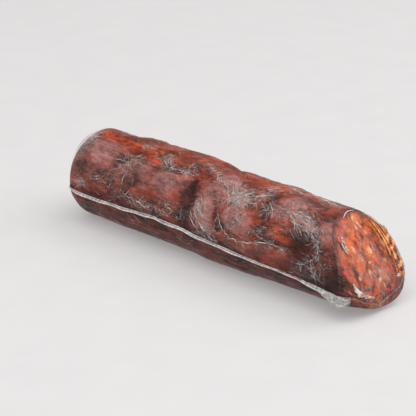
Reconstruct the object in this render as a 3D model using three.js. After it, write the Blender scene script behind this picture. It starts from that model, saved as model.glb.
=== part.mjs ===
// Cured sausage, a cut piece in its skin-tight clear film.
// Millimetres, +Z up. The sausage lies along X with its blunt end at -X and its
// slanting cut face at +X. The origin is under its middle, on the surface that it rests on.
// Places on its side are given by two values: "along", the distance from the blunt end,
// and "around", the angle round the sausage in degrees: 0 front (-Y), 90 top, 180 back.

import * as THREE from 'three';

// Driving dimensions
const LENGTH = 208;
const DIAMETER = 50;
const WIDER = 1.016;             // how much wider than high the section is
const REST_SINK = 0.45;          // how far the round underside is pressed flat
const REST_HALF_ANGLE = 34;      // the calm stretch of the underside, to each side of the lowest line
const BLUNT_DEPTH = 13;          // how far the rounding of the blunt end runs along the sausage
const BLUNT_POWER = 3.6;         // 2 is a ball, more is blunter
const CUT_AT_AXIS = 204.3;       // where the cut crosses the sausage's axis
const CUT_LEAN = 0.749;          // how far the cut moves back for each millimetre up
const CUT_SKEW = -0.129;         // how far the cut moves for each millimetre towards the back
const CUT_BULGE = 1.2;           // the cut meat stands proud in the middle of the face
const LIP_AT = 209.2;            // the cut's lower edge is rounded off here
const LIP_SOFTNESS = 3.2;
const LIP_FURTHER = 1.8;         // the lip reaches this much further at the back
const LIP_LIFT = 4.2;            // the underside rises this much towards the lip, at the front
const LIP_LIFT_FROM = 186;
const SLIMMER = 1.8;             // the underside is this much slimmer at the cut end, at the front
const SLIMMER_FROM = 130;
const EDGE_ROUND = 0.05;         // the cut's edge is rounded by this share of the radius
const SHOULDER_ROUND = 0.27;     // and by this much more where the film's tail is gathered
const SHOULDER_AROUND = 328;
const SHOULDER_REACH = 30;
const EDGE_BEND = 0.3;           // the middle of the rounded edge, as a share of its depth
const EDGE_POWER = 3.4;          // the bend of that edge as a power of the way in from its foot
const MIDDLE = 105.0;            // the middle of the whole length, from the blunt end, with the film

// How finely the surface is divided
const SIDES = 60;
const BLUNT_RINGS = 9;
const SIDE_RINGS = 76;
const FACE_RINGS = 6;

// Film seam
const SEAM_WIDTH = 2.3;
const SEAM_THICKNESS = 0.5;
const SEAM_GAP = 0.85;
const SEAM_CORNER_GAP = 0.95;    // and this much more where it turns a corner
const SEAM_DROOP = 35;           // the seam points down by this angle
const TAIL_FROM = 181;
const TAIL_FULL = 192;
const TAIL_FADES = [199, 206];
const TAIL_WIDTH = 6.5;          // the seam widens to this where the film is gathered
const TAIL_DROOP = 52;
const TAIL_PLEATS = 5;
const TAIL_PLEAT_DEPTH = 0.6;
const SEAM_STEP = 3.4;
const SEAM_FAN_STEPS = 17;
const SEAM_FAN_INSET = 22;       // the seam turns round each end about a point this far in
const SEAM_HEIGHTS = [
  { along: 0, height: 21.4 },
  { along: 32, height: 20.7 },
  { along: 74, height: 22.6 },
  { along: 112, height: 20.4 },
  { along: 150, height: 18.2 },
  { along: 172, height: 17.2 },
  { along: 190, height: 15.0 },
  { along: 204, height: 14.2 },
  { along: 209, height: 9.5 },
  { along: 212, height: 5.0 },
];

// Swellings and hollows that can be told apart: reach is along the sausage, spread is round it,
// both in millimetres, and a negative rise is a hollow.
const LUMPS = [
  { along: 22, around: 55, reach: 14, spread: 10, rise: 1.4 },
  { along: 56, around: 50, reach: 13, spread: 9, rise: 1.3 },
  { along: 77, around: 46, reach: 9, spread: 8, rise: 1.7 },
  { along: 60, around: 20, reach: 15, spread: 8, rise: 0.8 },
  { along: 110, around: 36, reach: 8, spread: 14, rise: 2.4 },
  { along: 131, around: 23, reach: 12, spread: 8, rise: 2.0 },
  { along: 128, around: 49, reach: 8, spread: 6, rise: 1.2 },
  { along: 116, around: 70, reach: 9, spread: 5, rise: 1.7 },
  { along: 160, around: 71, reach: 11, spread: 6, rise: 1.8 },
  { along: 155, around: 53, reach: 9, spread: 4, rise: 1.3 },
  { along: 160, around: 33, reach: 8, spread: 5, rise: 1.0 },
  { along: 188, around: 50, reach: 7, spread: 9, rise: 1.8 },
  { along: 140, around: 0, reach: 22, spread: 5, rise: 1.1 },
  { along: 12, around: 98, reach: 10, spread: 10, rise: 0.8 },
  { along: 42, around: 114, reach: 15, spread: 11, rise: 1.6 },
  { along: 72, around: 116, reach: 22, spread: 12, rise: 2.6 },
  { along: 103, around: 116, reach: 5, spread: 9, rise: -1.3 },
  { along: 150, around: 100, reach: 14, spread: 8, rise: 0.9 },
  { along: 40, around: 55, reach: 4, spread: 4.5, rise: -2.0 },
  { along: 94, around: 31, reach: 6, spread: 11, rise: -3.0 },
  { along: 177, around: 24, reach: 8, spread: 6, rise: -3.4 },
  { along: 212, around: 155, reach: 28, spread: 19, rise: -4.4 },
];

// Creases, each along its own bent line
const CREASES = [
  { depth: 1.2, width: 3.0, line: [[14, 77], [62, 66], [92, 57]] },
  { depth: 1.1, width: 2.2, line: [[60, 75], [71, 61], [80, 62], [90, 67]] },
  { depth: 1.4, width: 2.4, line: [[92, 77], [112, 61], [122, 51]] },
  { depth: 2.1, width: 2.4, line: [[117, 42], [118, 22], [124, 10], [131, 5], [158, 15], [180, 9]] },
  { depth: 1.4, width: 2.2, line: [[156, 62], [170, 60], [180, 51], [184, 32], [184, 14], [174, 0]] },
  { depth: 0.8, width: 2.0, line: [[46, 5], [60, 9], [80, 10], [96, 4]] },
  { depth: 1.1, width: 1.8, line: [[141, 48], [150, 40]] },
  { depth: 1.0, width: 1.8, line: [[121, 40], [131, 37]] },
  { depth: 0.9, width: 2.0, line: [[162, 42], [172, 40], [181, 42]] },
];

// The finer unevenness, drawn by rule
const LUMP_SEED = 4711;
const SMALL_LUMPS = 120;
const SMALL_REACH = [6, 14];
const SMALL_RISE_SHOWN = 0.55;
const SMALL_RISE_BACK = 1.1;
const BACK_FROM = 125;           // the angle round the sausage past which the larger lumps lie

const RADIUS = DIAMETER / 2;
const AXIS_HEIGHT = RADIUS - REST_SINK;
const DEGREE = Math.PI / 180;

function seededRandom(seed) {
  let state = seed;
  return () => {
    state = (state * 16807) % 2147483647;
    return state / 2147483647;
  };
}

function smoothStep(value, from, to) {
  const t = Math.min(Math.max((value - from) / (to - from), 0), 1);
  return t * t * (3 - 2 * t);
}

// The shorter way round from one angle to another, in degrees
function turnBetween(angle, other) {
  return ((angle - other + 540) % 360) - 180;
}

function arcLength(angle) {
  return angle * DEGREE * RADIUS;
}

function smallLumps() {
  const random = seededRandom(LUMP_SEED);
  const lumps = [];
  for (let i = 0; i < SMALL_LUMPS; i += 1) {
    const along = random() * LENGTH;
    const around = random() * 360;
    const size = SMALL_REACH[0] + random() * (SMALL_REACH[1] - SMALL_REACH[0]);
    const shape = 0.7 + 0.6 * random();
    const height = 2 * random() - 1;
    const back = around > BACK_FROM && around < 320;
    lumps.push({
      along,
      around,
      reach: size * shape,
      spread: size / shape,
      rise: height * (back ? SMALL_RISE_BACK : SMALL_RISE_SHOWN),
    });
  }
  return lumps;
}

const ALL_LUMPS = [...LUMPS, ...smallLumps()];

function lumpRise(lump, along, around) {
  const u = (along - lump.along) / lump.reach;
  const v = arcLength(turnBetween(around, lump.around)) / lump.spread;
  return lump.rise * Math.exp(-(u * u + v * v));
}

// The distance on the unrolled surface from a place to a crease's line
function distanceToLine(line, along, around) {
  let nearest = Infinity;
  for (let i = 0; i + 1 < line.length; i += 1) {
    const fromX = line[i][0] - along;
    const fromY = arcLength(turnBetween(line[i][1], around));
    const stepX = line[i + 1][0] - line[i][0];
    const stepY = arcLength(line[i + 1][1] - line[i][1]);
    const t = -(fromX * stepX + fromY * stepY) / (stepX * stepX + stepY * stepY);
    const held = Math.min(Math.max(t, 0), 1);
    nearest = Math.min(nearest, Math.hypot(fromX + held * stepX, fromY + held * stepY));
  }
  return nearest;
}

// How far the surface stands above or below the plain round, in millimetres
function relief(along, around) {
  let rise = 0;
  for (const lump of ALL_LUMPS) {
    rise += lumpRise(lump, along, around);
  }
  for (const crease of CREASES) {
    const away = distanceToLine(crease.line, along, around) / crease.width;
    rise -= crease.depth * Math.exp(-away * away);
  }
  const fromLowest = Math.abs(turnBetween(around, 270));
  return rise * smoothStep(fromLowest, REST_HALF_ANGLE / 2, REST_HALF_ANGLE * 1.6);
}

// The place on the cut face at a height above the axis and a distance towards the back
function cutAlong(across, up) {
  const plane = CUT_AT_AXIS - CUT_LEAN * up + CUT_SKEW * across;
  const lip = LIP_AT + LIP_FURTHER * smoothStep(across, 0, 18);
  const gap = (plane - lip) / LIP_SOFTNESS;
  return lip - LIP_SOFTNESS * Math.log(1 + Math.exp(-gap));
}

// A point of the surface from its place, its share of the full radius and its relief there
function sidePoint(along, around, share) {
  const angle = around * DEGREE;
  const radius = RADIUS * share + relief(along, around) * share * share;
  const across = -radius * Math.cos(angle) * WIDER;
  let up = radius * Math.sin(angle);
  if (up < 0) {
    const front = (1 - across / (RADIUS * WIDER)) / 2;
    const lift = LIP_LIFT * smoothStep(along, LIP_LIFT_FROM, LENGTH) ** 2;
    const slim = SLIMMER * smoothStep(along, SLIMMER_FROM, LENGTH);
    up *= 1 - (front * (lift + slim)) / RADIUS;
  }
  return { across, up };
}

function place(along, across, up) {
  return new THREE.Vector3(along - MIDDLE, across, Math.max(up + AXIS_HEIGHT, 0));
}

function bluntRing(step) {
  const angle = (step / BLUNT_RINGS) * (Math.PI / 2);
  const share = Math.sin(angle) ** (2 / BLUNT_POWER);
  const along = BLUNT_DEPTH * (1 - Math.cos(angle) ** (2 / BLUNT_POWER));
  return { share, along };
}

function edgeOfCut(around) {
  const rim = sidePoint(LENGTH - 12, around, 1);
  return cutAlong(rim.across, rim.up);
}

// How deep the cut's edge is rounded, as a share of the radius
function edgeRound(around) {
  const away = turnBetween(around, SHOULDER_AROUND) / SHOULDER_REACH;
  return EDGE_ROUND + SHOULDER_ROUND * Math.exp(-away * away);
}

// How far the cut meat stands out, from the middle of the face to its rim
function faceBulge(share) {
  return CUT_BULGE * (0.5 - share * share);
}

// The closed sausage: rings from the blunt end's middle, along the side and in over the cut face
function sausageGeometry() {
  const rings = [];
  for (let step = 1; step <= BLUNT_RINGS; step += 1) {
    const { share, along } = bluntRing(step);
    rings.push((around) => {
      const { across, up } = sidePoint(along, around, share);
      return place(along, across, up);
    });
  }
  for (let step = 1; step <= SIDE_RINGS; step += 1) {
    const t = step / SIDE_RINGS;
    rings.push((around) => {
      const end = edgeOfCut(around) - RADIUS * edgeRound(around);
      const along = BLUNT_DEPTH + t * (end - BLUNT_DEPTH);
      const { across, up } = sidePoint(along, around, 1);
      return place(along, across, up);
    });
  }
  rings.push((around) => {
    const depth = EDGE_BEND * edgeRound(around);
    const along = edgeOfCut(around) - RADIUS * depth;
    const { across, up } = sidePoint(along, around, 1 - depth);
    return place(along, across, up);
  });
  for (let step = 0; step < FACE_RINGS; step += 1) {
    rings.push((around) => {
      const share = (1 - edgeRound(around)) * (1 - step / FACE_RINGS);
      const rim = sidePoint(edgeOfCut(around), around, 1);
      const across = rim.across * share;
      const up = rim.up * share;
      const along = cutAlong(across, up) + faceBulge(share);
      return place(along, across, up);
    });
  }
  const points = [place(0, 0, 0)];
  for (const ring of rings) {
    for (let side = 0; side < SIDES; side += 1) {
      points.push(ring(270 + (side * 360) / SIDES));
    }
  }
  points.push(place(cutAlong(0, 0) + faceBulge(0), 0, 0));
  return closedRings(points, rings.length, SIDES);
}

// Faces over rings of points that run from one end point to another
function closedRings(points, ringCount, sides) {
  const faces = [];
  const last = points.length - 1;
  const at = (ring, side) => 1 + ring * sides + (side % sides);
  for (let side = 0; side < sides; side += 1) {
    faces.push(0, at(0, side), at(0, side + 1));
    faces.push(last, at(ringCount - 1, side + 1), at(ringCount - 1, side));
    for (let ring = 0; ring + 1 < ringCount; ring += 1) {
      const a = at(ring, side);
      const b = at(ring, side + 1);
      const c = at(ring + 1, side + 1);
      const d = at(ring + 1, side);
      faces.push(a, c, b, a, d, c);
    }
  }
  return meshOf(points, faces);
}

function meshOf(points, faces) {
  const geometry = new THREE.BufferGeometry().setFromPoints(points);
  geometry.setIndex(faces);
  geometry.computeVertexNormals();
  return geometry;
}

// Whether a point lies inside the sausage
function isInside(along, across, up) {
  if (along < 0) {
    return false;
  }
  const around = (Math.atan2(up, -across / WIDER) / DEGREE + 360) % 360;
  let share = 1;
  if (along < BLUNT_DEPTH) {
    share = (1 - (1 - along / BLUNT_DEPTH) ** BLUNT_POWER) ** (1 / BLUNT_POWER);
  }
  const rim = sidePoint(along, around, share);
  const out = Math.hypot(across, up) / Math.hypot(rim.across, rim.up);
  const round = edgeRound(around);
  const bend = Math.max(out - 1 + round, 0) / round;
  const face = cutAlong(across, up) + faceBulge(out) - RADIUS * round * bend ** EDGE_POWER;
  return out < 1 && along < face;
}

// How far a level line from the axis runs inside the sausage before it comes out
function reachFrom(along, up, dirAlong, dirAcross) {
  let inner = 0;
  let outer = 2 * RADIUS;
  for (let halving = 0; halving < 24; halving += 1) {
    const middle = (inner + outer) / 2;
    if (isInside(along + dirAlong * middle, dirAcross * middle, up)) {
      inner = middle;
    } else {
      outer = middle;
    }
  }
  return inner;
}

function seamHeight(along) {
  const curve = SEAM_HEIGHTS;
  let i = 0;
  while (i + 2 < curve.length && along > curve[i + 1].along) {
    i += 1;
  }
  const t = smoothStep(along, curve[i].along, curve[i + 1].along);
  return curve[i].height + t * (curve[i + 1].height - curve[i].height);
}

// The seam's way round the sausage: along the front, round the lip, back and round the blunt end
function seamRoute() {
  const rays = [];
  const first = SEAM_FAN_INSET;
  const last = LENGTH - SEAM_FAN_INSET;
  const steps = Math.round((last - first) / SEAM_STEP);
  for (let step = 0; step < steps; step += 1) {
    rays.push({ along: first + (step / steps) * (last - first), turn: -90 });
  }
  for (let step = 0; step < SEAM_FAN_STEPS; step += 1) {
    rays.push({ along: last, turn: -90 + (step / SEAM_FAN_STEPS) * 180 });
  }
  for (let step = 0; step < steps; step += 1) {
    rays.push({ along: last - (step / steps) * (last - first), turn: 90 });
  }
  for (let step = 0; step < SEAM_FAN_STEPS; step += 1) {
    rays.push({ along: first, turn: 90 + (step / SEAM_FAN_STEPS) * 180 });
  }
  return rays.map(({ along, turn }) => {
    const dirAlong = Math.cos(turn * DEGREE);
    const dirAcross = Math.sin(turn * DEGREE);
    const guess = along + dirAlong * RADIUS;
    const up = seamHeight(guess) - AXIS_HEIGHT;
    const reach = reachFrom(along, up, dirAlong, dirAcross);
    return place(along + dirAlong * reach, dirAcross * reach, up);
  });
}

// The gathered tail lies on the front, at the cut end, and ends where the seam turns round the lip
function tailShare(point, out) {
  const along = point.x + MIDDLE;
  const lasting = 1 - smoothStep(along, TAIL_FADES[0], TAIL_FADES[1]);
  return lasting * smoothStep(-out.y, 0.55, 0.9) * smoothStep(along, TAIL_FROM, TAIL_FULL);
}

// The welded edge of the film, a thin ribbon that stands just clear of the sausage all round
function seamGeometry() {
  const route = seamRoute();
  const count = route.length;
  const points = [];
  const lift = new THREE.Vector3(0, 0, SEAM_THICKNESS / 2);
  for (let i = 0; i < count; i += 1) {
    const before = route[(i + count - 1) % count];
    const after = route[(i + 1) % count];
    const way = after.clone().sub(before);
    const out = new THREE.Vector3(way.y, -way.x, 0).normalize();
    const tail = tailShare(route[i], out);
    const width = SEAM_WIDTH + tail * (TAIL_WIDTH - SEAM_WIDTH);
    const droop = (SEAM_DROOP + tail * (TAIL_DROOP - SEAM_DROOP)) * DEGREE;
    const share = (route[i].x + MIDDLE - TAIL_FROM) / (LENGTH - TAIL_FROM);
    const phase = share * TAIL_PLEATS * 2 * Math.PI;
    const ripple = tail * TAIL_PLEAT_DEPTH * (1 + Math.sin(phase));
    const corner = 2 * Math.abs(out.x * out.y);
    const inner = route[i].clone().addScaledVector(out, SEAM_GAP + corner * SEAM_CORNER_GAP);
    const outer = inner.clone().addScaledVector(out, width * Math.cos(droop) + ripple);
    outer.z -= width * Math.sin(droop);
    points.push(inner.clone().add(lift), outer.clone().add(lift));
    points.push(outer.clone().sub(lift), inner.clone().sub(lift));
  }
  const faces = [];
  for (let i = 0; i < count; i += 1) {
    for (let edge = 0; edge < 4; edge += 1) {
      const a = i * 4 + edge;
      const b = i * 4 + ((edge + 1) % 4);
      const c = ((i + 1) % count) * 4 + ((edge + 1) % 4);
      const d = ((i + 1) % count) * 4 + edge;
      faces.push(a, c, d, a, b, c);
    }
  }
  return meshOf(points, faces);
}

function curedMeat() {
  return new THREE.MeshStandardMaterial({ color: 0x7a4438, roughness: 0.38, metalness: 0 });
}

function clearFilm() {
  return new THREE.MeshStandardMaterial({ color: 0xd9d4cf, roughness: 0.2, metalness: 0 });
}

const sausage = new THREE.Mesh(sausageGeometry(), curedMeat());
sausage.name = 'sausage';

const filmSeam = new THREE.Mesh(seamGeometry(), clearFilm());
filmSeam.name = 'film_seam';

const part = new THREE.Group();
part.add(sausage, filmSeam);

export default part;
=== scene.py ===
"""The looks of a cured sausage, cut on a slant and shrink-wrapped in clear film.

Run as a script, it builds every piece in one frame: the meat with its mottled casing and its
cut face, the skin-tight film with its wrinkles, the welded edge, the gathered tail and the
wet pleats on the cut. Metres, +Z up, the sausage along X with its cut at +X. The form is
worked out in millimetres from two values: "along", the distance from the blunt end, and
"around", the angle round the sausage, 0 front (-Y), 90 top, 180 back.
"""

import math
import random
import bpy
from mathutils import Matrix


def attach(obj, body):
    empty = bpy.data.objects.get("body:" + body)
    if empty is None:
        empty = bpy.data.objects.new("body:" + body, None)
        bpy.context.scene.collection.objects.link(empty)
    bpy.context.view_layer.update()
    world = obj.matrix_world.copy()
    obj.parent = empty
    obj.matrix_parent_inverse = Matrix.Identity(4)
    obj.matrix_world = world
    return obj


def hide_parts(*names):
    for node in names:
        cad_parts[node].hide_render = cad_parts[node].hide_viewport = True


bl_info = {
    "name": "Cured Sausage in Clear Film",
    "version": (1, 0, 0),
    "blender": (4, 5, 0),
    "location": "3D View > Sidebar > Sausage",
    "description": "Builds a cured sausage in shrink-wrapped film, with its stage",
    "category": "Add Mesh",
}

import bpy
import numpy as np
from mathutils import Vector

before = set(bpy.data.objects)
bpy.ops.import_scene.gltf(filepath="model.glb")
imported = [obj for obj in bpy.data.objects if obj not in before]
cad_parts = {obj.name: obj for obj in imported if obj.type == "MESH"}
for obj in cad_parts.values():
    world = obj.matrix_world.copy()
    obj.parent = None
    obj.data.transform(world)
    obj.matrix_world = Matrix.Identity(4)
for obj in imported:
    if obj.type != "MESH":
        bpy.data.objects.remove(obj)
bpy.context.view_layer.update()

MM = 0.001
BODY = "root"
DOWN = np.array([0, 0, -1.0])
WARM_WHITE = (1.0, 0.985, 0.985, 1)
CAMERA_AIM = (-18.6, 3.2, 22.8)  # in millimetres from the frame's origin

# The form, in millimetres
WIDER = 1.016
REST_SINK = 0.45
REST_HALF_ANGLE = 34
BLUNT_DEPTH = 13
BLUNT_POWER = 3.6
CUT_AT_AXIS = 204.3
CUT_LEAN = 0.749
CUT_SKEW = -0.129
CUT_BULGE = 1.2
CUT_FROM_END = 12.0
LIP_AT = 209.2
LIP_SOFTNESS = 3.2
LIP_FURTHER = 1.8
LIP_FURTHER_BY = 18
LIP_LIFT = 4.2
LIP_LIFT_FROM = 186
SLIMMER = 1.8
SLIMMER_FROM = 130
EDGE_ROUND = 0.05
SHOULDER_ROUND = 0.27
SHOULDER_AROUND = 328
SHOULDER_REACH = 30
EDGE_POWER = 3.4
EDGE_BEND_POWER = 0.6
MIDDLE = 105.0
SEAM_FAN_INSET = 22
# The least height over the floor: of the meat, the film drawn on it, the folds on the cut and
# the film that is loose
LOWEST_MEAT = 0.15
LOWEST_FILM = 0.02
LOWEST_ON_CUT = 0.1
LOWEST_FOLD = 0.3
SEAM_HEIGHTS = [
    (0, 21.4), (32, 20.7), (74, 22.6), (112, 20.4), (150, 18.2),
    (172, 17.2), (190, 15.0), (204, 14.2), (209, 9.5), (212, 5.0),
]

# Swellings and hollows: along, around, reach, spread, rise
LUMPS = [
    (22, 55, 14, 10, 1.4), (56, 50, 13, 9, 1.3), (77, 46, 9, 8, 1.7), (60, 20, 15, 8, 0.8),
    (110, 36, 8, 14, 2.4), (131, 23, 12, 8, 2.0), (128, 49, 8, 6, 1.2), (116, 70, 9, 5, 1.7),
    (160, 71, 11, 6, 1.8), (155, 53, 9, 4, 1.3), (160, 33, 8, 5, 1.0), (188, 50, 7, 9, 1.8),
    (140, 0, 22, 5, 1.1), (12, 98, 10, 10, 0.8), (42, 114, 15, 11, 1.6), (72, 116, 22, 12, 2.6),
    (103, 116, 5, 9, -1.3), (150, 100, 14, 8, 0.9), (40, 55, 4, 4.5, -2.0),
    (94, 31, 6, 11, -3.0), (177, 24, 8, 6, -3.4), (212, 155, 28, 19, -4.4),
]
SMALL_SEED = 4711
SMALL_LUMPS = 120
SMALL_REACH = (6, 14)
SMALL_RISE_SHOWN = 0.55
SMALL_RISE_BACK = 1.1
BACK_FROM = 125
BACK_TO = 320

# Creases: depth, width, and the bent line along and around
CREASES = [
    (1.2, 3.0, [(14, 77), (62, 66), (92, 57)]),
    (1.1, 2.2, [(60, 75), (71, 61), (80, 62), (90, 67)]),
    (1.4, 2.4, [(92, 77), (112, 61), (122, 51)]),
    (2.1, 2.4, [(117, 42), (118, 22), (124, 10), (131, 5), (158, 15), (180, 9)]),
    (1.4, 2.2, [(156, 62), (170, 60), (180, 51), (184, 32), (184, 14), (174, 0)]),
    (0.8, 2.0, [(46, 5), (60, 9), (80, 10), (96, 4)]),
    (1.1, 1.8, [(141, 48), (150, 40)]),
    (1.0, 1.8, [(121, 40), (131, 37)]),
    (0.9, 2.0, [(162, 42), (172, 40), (181, 42)]),
]

# The finest lumps of the meat, drawn by rule
FINE_SEED = 1907
FINE_LUMPS = 420
FINE_REACH = (1.8, 5.0)
FINE_RISE = 0.42

# The film: the share of a crease that it spans, the share of the finest lumps that it keeps,
# and its gap over the cut face
CREASE_SPANNED = 0.3
LUMPS_KEPT = 0.75
FACE_FILM_GAP = 0.25
# Where it stands loose near the blunt end: along, around, reach, spread in degrees, height
LOOSE_FILM = (3, 62, 5, 26, 1.3)

# Milky veils where the film stands off, with painted sheen: along, around, reach, spread, strength
VEILS_AND_SHEEN = [
    (24, 57, 14, 9, 0.85), (9, 34, 5, 14, 0.45), (56, 50, 9, 7, 0.6), (46, 31, 8, 5, 0.35),
    (76, 45, 9, 8, 0.85), (66, 36, 8, 5, 0.4), (110, 33, 6, 12, 0.6), (103, 61, 5, 3, 0.45),
    (115, 69, 8, 5, 0.6), (131, 25, 9, 7, 0.5), (128, 50, 7, 6, 0.55), (160, 70, 9, 5, 0.6),
    (154, 53, 6, 3, 0.4), (188, 49, 6, 8, 0.55), (148, -2, 22, 4, 0.35), (60, -1, 32, 3, 0.3),
    (176, 42, 9, 5, 0.5), (96, 84, 12, 3, 0.35), (172, 80, 12, 3, 0.35), (184, 24, 4, 9, 0.5),
    (90, 48, 10, 6, 0.4), (36, 38, 14, 7, 0.4), (104, 22, 8, 5, 0.5), (170, 52, 10, 4, 0.5),
]
# Where fat has oozed under it and the meat shows orange
OILS = [
    (30, 80, 18, 5, 0.85), (14, 92, 12, 8, 0.75), (54, 76, 12, 4, 0.8), (61, 63, 6, 4, 0.9),
    (84, 58, 6, 3, 0.95), (101, 66, 9, 3, 0.9), (119, 52, 4, 3, 0.9), (31, 10, 6, 2.5, 0.7),
    (16, 8, 7, 2.5, 0.6), (68, 27, 5, 4, 0.7), (126, 3, 4, 3, 0.8), (154, 46, 7, 3.5, 0.6),
    # the long patches near 92 to 96 round lie on the top ridge and are partly painted light on the
    # top
    (159, 27, 6, 3.5, 0.9), (176, 14, 5, 4, 0.9), (188, 51, 7, 1.5, 0.8), (70, 96, 40, 6, 0.55),
    (140, 92, 40, 6, 0.6), (150, 83, 8, 4, 0.8), (110, 8, 5, 4, 0.6), (45, 24, 5, 3, 0.4),
    (26, 40, 5, 3, 0.45), (64, 42, 4, 3, 0.5),
]
# Painted shade: where it is darkest, mostly in the hollows and valleys
SHADES = [
    (40, 54, 5, 4, 0.9), (92, 31, 5, 9, 0.5), (97, 20, 5, 5, 0.4), (174, 22, 9, 7, 1.0),
    (186, 66, 6, 4, 0.6), (117, 30, 1.5, 6, 0.8), (121, 14, 4, 1.5, 0.8), (48, 18, 30, 5, 0.35),
    (12, 28, 6, 5, 0.5), (144, 50, 4, 2, 0.6), (150, 59, 3, 1.5, 0.6), (184, -6, 14, 6, 0.8),
    (200, 8, 10, 16, 0.6), (203, 352, 8, 12, 0.7), (40, 12, 8, 3, 0.3), (165, 36, 8, 3, 0.5),
    (186, 14, 11, 10, 0.95), (176, 8, 10, 6, 0.7),
    (80, 70, 5, 2, 0.6), (28, 92, 22, 3, 0.55), (98, 70, 6, 2, 0.6), (70, 82, 12, 2.5, 0.5),
    (66, 8, 10, 3, 0.5), (160, 82, 14, 2.5, 0.5), (135, 60, 3, 4, 0.5), (190, 72, 10, 4, 0.6),
    (104, -4, 60, 3, 0.4),
]
BACK_MARKS = {"veil_and_sheen": 26, "oil": 26, "shade": 12}
BACK_SEED = 86

# The cut face, by distance towards the back and height above the axis: across, up, wide, high
FAT_SPOTS = [
    (2.1, 7.0, 1.5, 1.7), (1.1, -6.5, 1.4, 1.2), (3.6, 18.4, 0.6, 1.6), (0.2, 18.0, 0.8, 0.8),
    (-3.0, 11.1, 0.5, 1.1), (-14.4, 11.0, 0.7, 1.2),
    (1.8, 21.3, 1.2, 1.3), (-9.8, 10.7, 0.6, 1.4), (5.8, 13.8, 0.8, 0.8), (-5.3, -1.6, 0.6, 1.2),
    (3.4, -9.6, 0.7, 1.3), (-13.6, -1.6, 0.5, 1.0), (9.6, 0.4, 0.6, 0.8), (-2.4, 2.6, 0.9, 0.5),
]
OIL_SPOTS = [
    (-4.7, 16.1, 3.0, 2.4), (2.2, 20.6, 3.2, 2.6), (0.4, 7.3, 3.4, 3.8), (-10.1, 13.4, 2.0, 2.4),
    (-15.5, 7.6, 2.0, 2.2), (-12.3, 10.6, 1.2, 4.0), (5.8, 13.6, 2.4, 2.2), (-10.0, 3.0, 4.4, 1.8),
    (1.6, 3.2, 2.8, 2.0), (14.0, 8.0, 2.0, 5.0), (17.4, 0.4, 1.6, 5.0), (-1.8, -11.0, 1.2, 5.0),
    (-7.0, -16.0, 1.6, 3.0), (21.4, 0.8, 1.8, 5.0), (-17.5, -3.0, 1.2, 5.0), (4.4, 9.6, 2.0, 1.6),
    (-13.8, -9.5, 1.2, 4.0), (11.0, -1.0, 2.0, 2.0), (-1.0, 12.6, 1.6, 3.0), (8.6, 17.6, 1.8, 2.6),
]
LILAC_SPOTS = [
    (-7.0, 18.6, 1.4, 3.2), (-7.2, 5.6, 2.6, 2.2), (-6.2, -4.4, 3.4, 2.4), (-12.2, 0.6, 2.0, 2.2),
    (7.2, 9.6, 1.4, 2.8), (-13.4, 14.6, 0.9, 3.8), (6.5, -5.6, 4.6, 4.2), (-9.0, 9.4, 1.0, 2.4),
    (-4.0, 9.6, 1.2, 2.0), (0.8, -2.2, 2.0, 2.4), (-10.6, -9.4, 3.4, 2.4), (3.2, 11.2, 1.2, 2.0),
]
# Dark spots of the cut, mostly painted shade between the pleats and on its lower back corner
SHADE_AND_DARK_SPOTS = [
    (6.7, 11.5, 0.9, 2.6), (9.8, 6.1, 0.8, 3.0), (12.0, 9.8, 1.0, 3.6), (11.3, -2.6, 0.8, 3.2),
    (2.6, -0.6, 1.2, 1.8), (-8.5, -8.4, 4.0, 1.2), (8.0, -16.0, 5.0, 3.0), (-15.2, 0.8, 0.8, 4.0),
    (-2.4, 13.6, 0.8, 2.8), (16.0, -12.0, 5.0, 6.0), (20.0, -8.0, 3.0, 6.0), (9.0, -19.0, 6.0, 3.0),
    (18.0, -15.0, 6.0, 5.0), (-1.2, -15.0, 5.0, 3.0), (-6.0, 11.6, 0.8, 3.0),
    (18.5, -4.0, 1.0, 4.0), (11.6, 13.6, 1.2, 2.4), (13.8, 9.2, 1.2, 2.6), (-16.4, -8.0, 1.4, 4.0),
    (15.6, 4.6, 1.0, 2.6), (17.0, 12.0, 1.2, 2.6), (19.0, 7.0, 0.8, 2.0),
]

# Wrinkles of the film that run out from one place: along, around, lines, shortest, longest
# in millimetres, the way they face and how far they fan, in degrees from the +X way
STARS = [
    (46, 50, 18, 3, 8, -70, 300), (42, 51, 6, 3, 5, 90, 200), (86, 66, 14, 2, 5, 0, 360),
    (122, 45, 30, 4, 11, 60, 190), (127, 54, 16, 3, 8, 40, 200), (131, 40, 12, 4, 9, 100, 90),
    (136, 71, 9, 4, 9, 40, 70), (137, 69, 5, 4, 7, -100, 60), (149, 84, 6, 1, 3, 0, 360),
    (103, 37, 10, 3, 7, -60, 80), (182, 40, 10, 3, 7, 150, 160), (188, 12, 6, 3, 8, -60, 160),
    (148, 52, 8, 3, 6, 200, 120), (160, 55, 12, 4, 9, -10, 60), (14, 6, 8, 2, 5, 30, 200),
]
# Long wrinkles with short ones branching off: branches, thickness, line along and around
RUNS = [
    (10, 1.0, [(60, 76), (66, 69), (70, 62), (78, 63), (86, 64)]),
    (22, 1.4, [(92, 87), (98, 79), (102, 75), (108, 67), (115, 61), (121, 54)]),
    (10, 1.1, [(132, 58), (138, 66), (143, 72)]),
    (6, 1.0, [(145, 61), (149, 54), (152, 46)]),
    (10, 1.2, [(104, 16), (110, 6), (118, -8)]),
    (5, 0.8, [(98, 14), (106, 2), (113, -7)]),
    (14, 1.1, [(117, 31), (122, 14), (130, 4), (138, 5), (148, 10), (156, 13), (165, 12)]),
    (26, 1.2, [(176, 41), (182, 36), (185, 22), (181, 8), (174, 0)]),
    (8, 0.9, [(66, 80), (69, 72), (73, 64)]),
    (12, 1.3, [(141, 104), (147, 96), (152, 92), (160, 88)]),
    (8, 1.5, [(160, 97), (168, 97), (181, 94)]),
    (12, 1.0, [(156, 62), (163, 61), (170, 59), (177, 54)]),
    (6, 0.7, [(46, 8), (56, 9), (66, 6), (76, 10)]),
]
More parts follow.
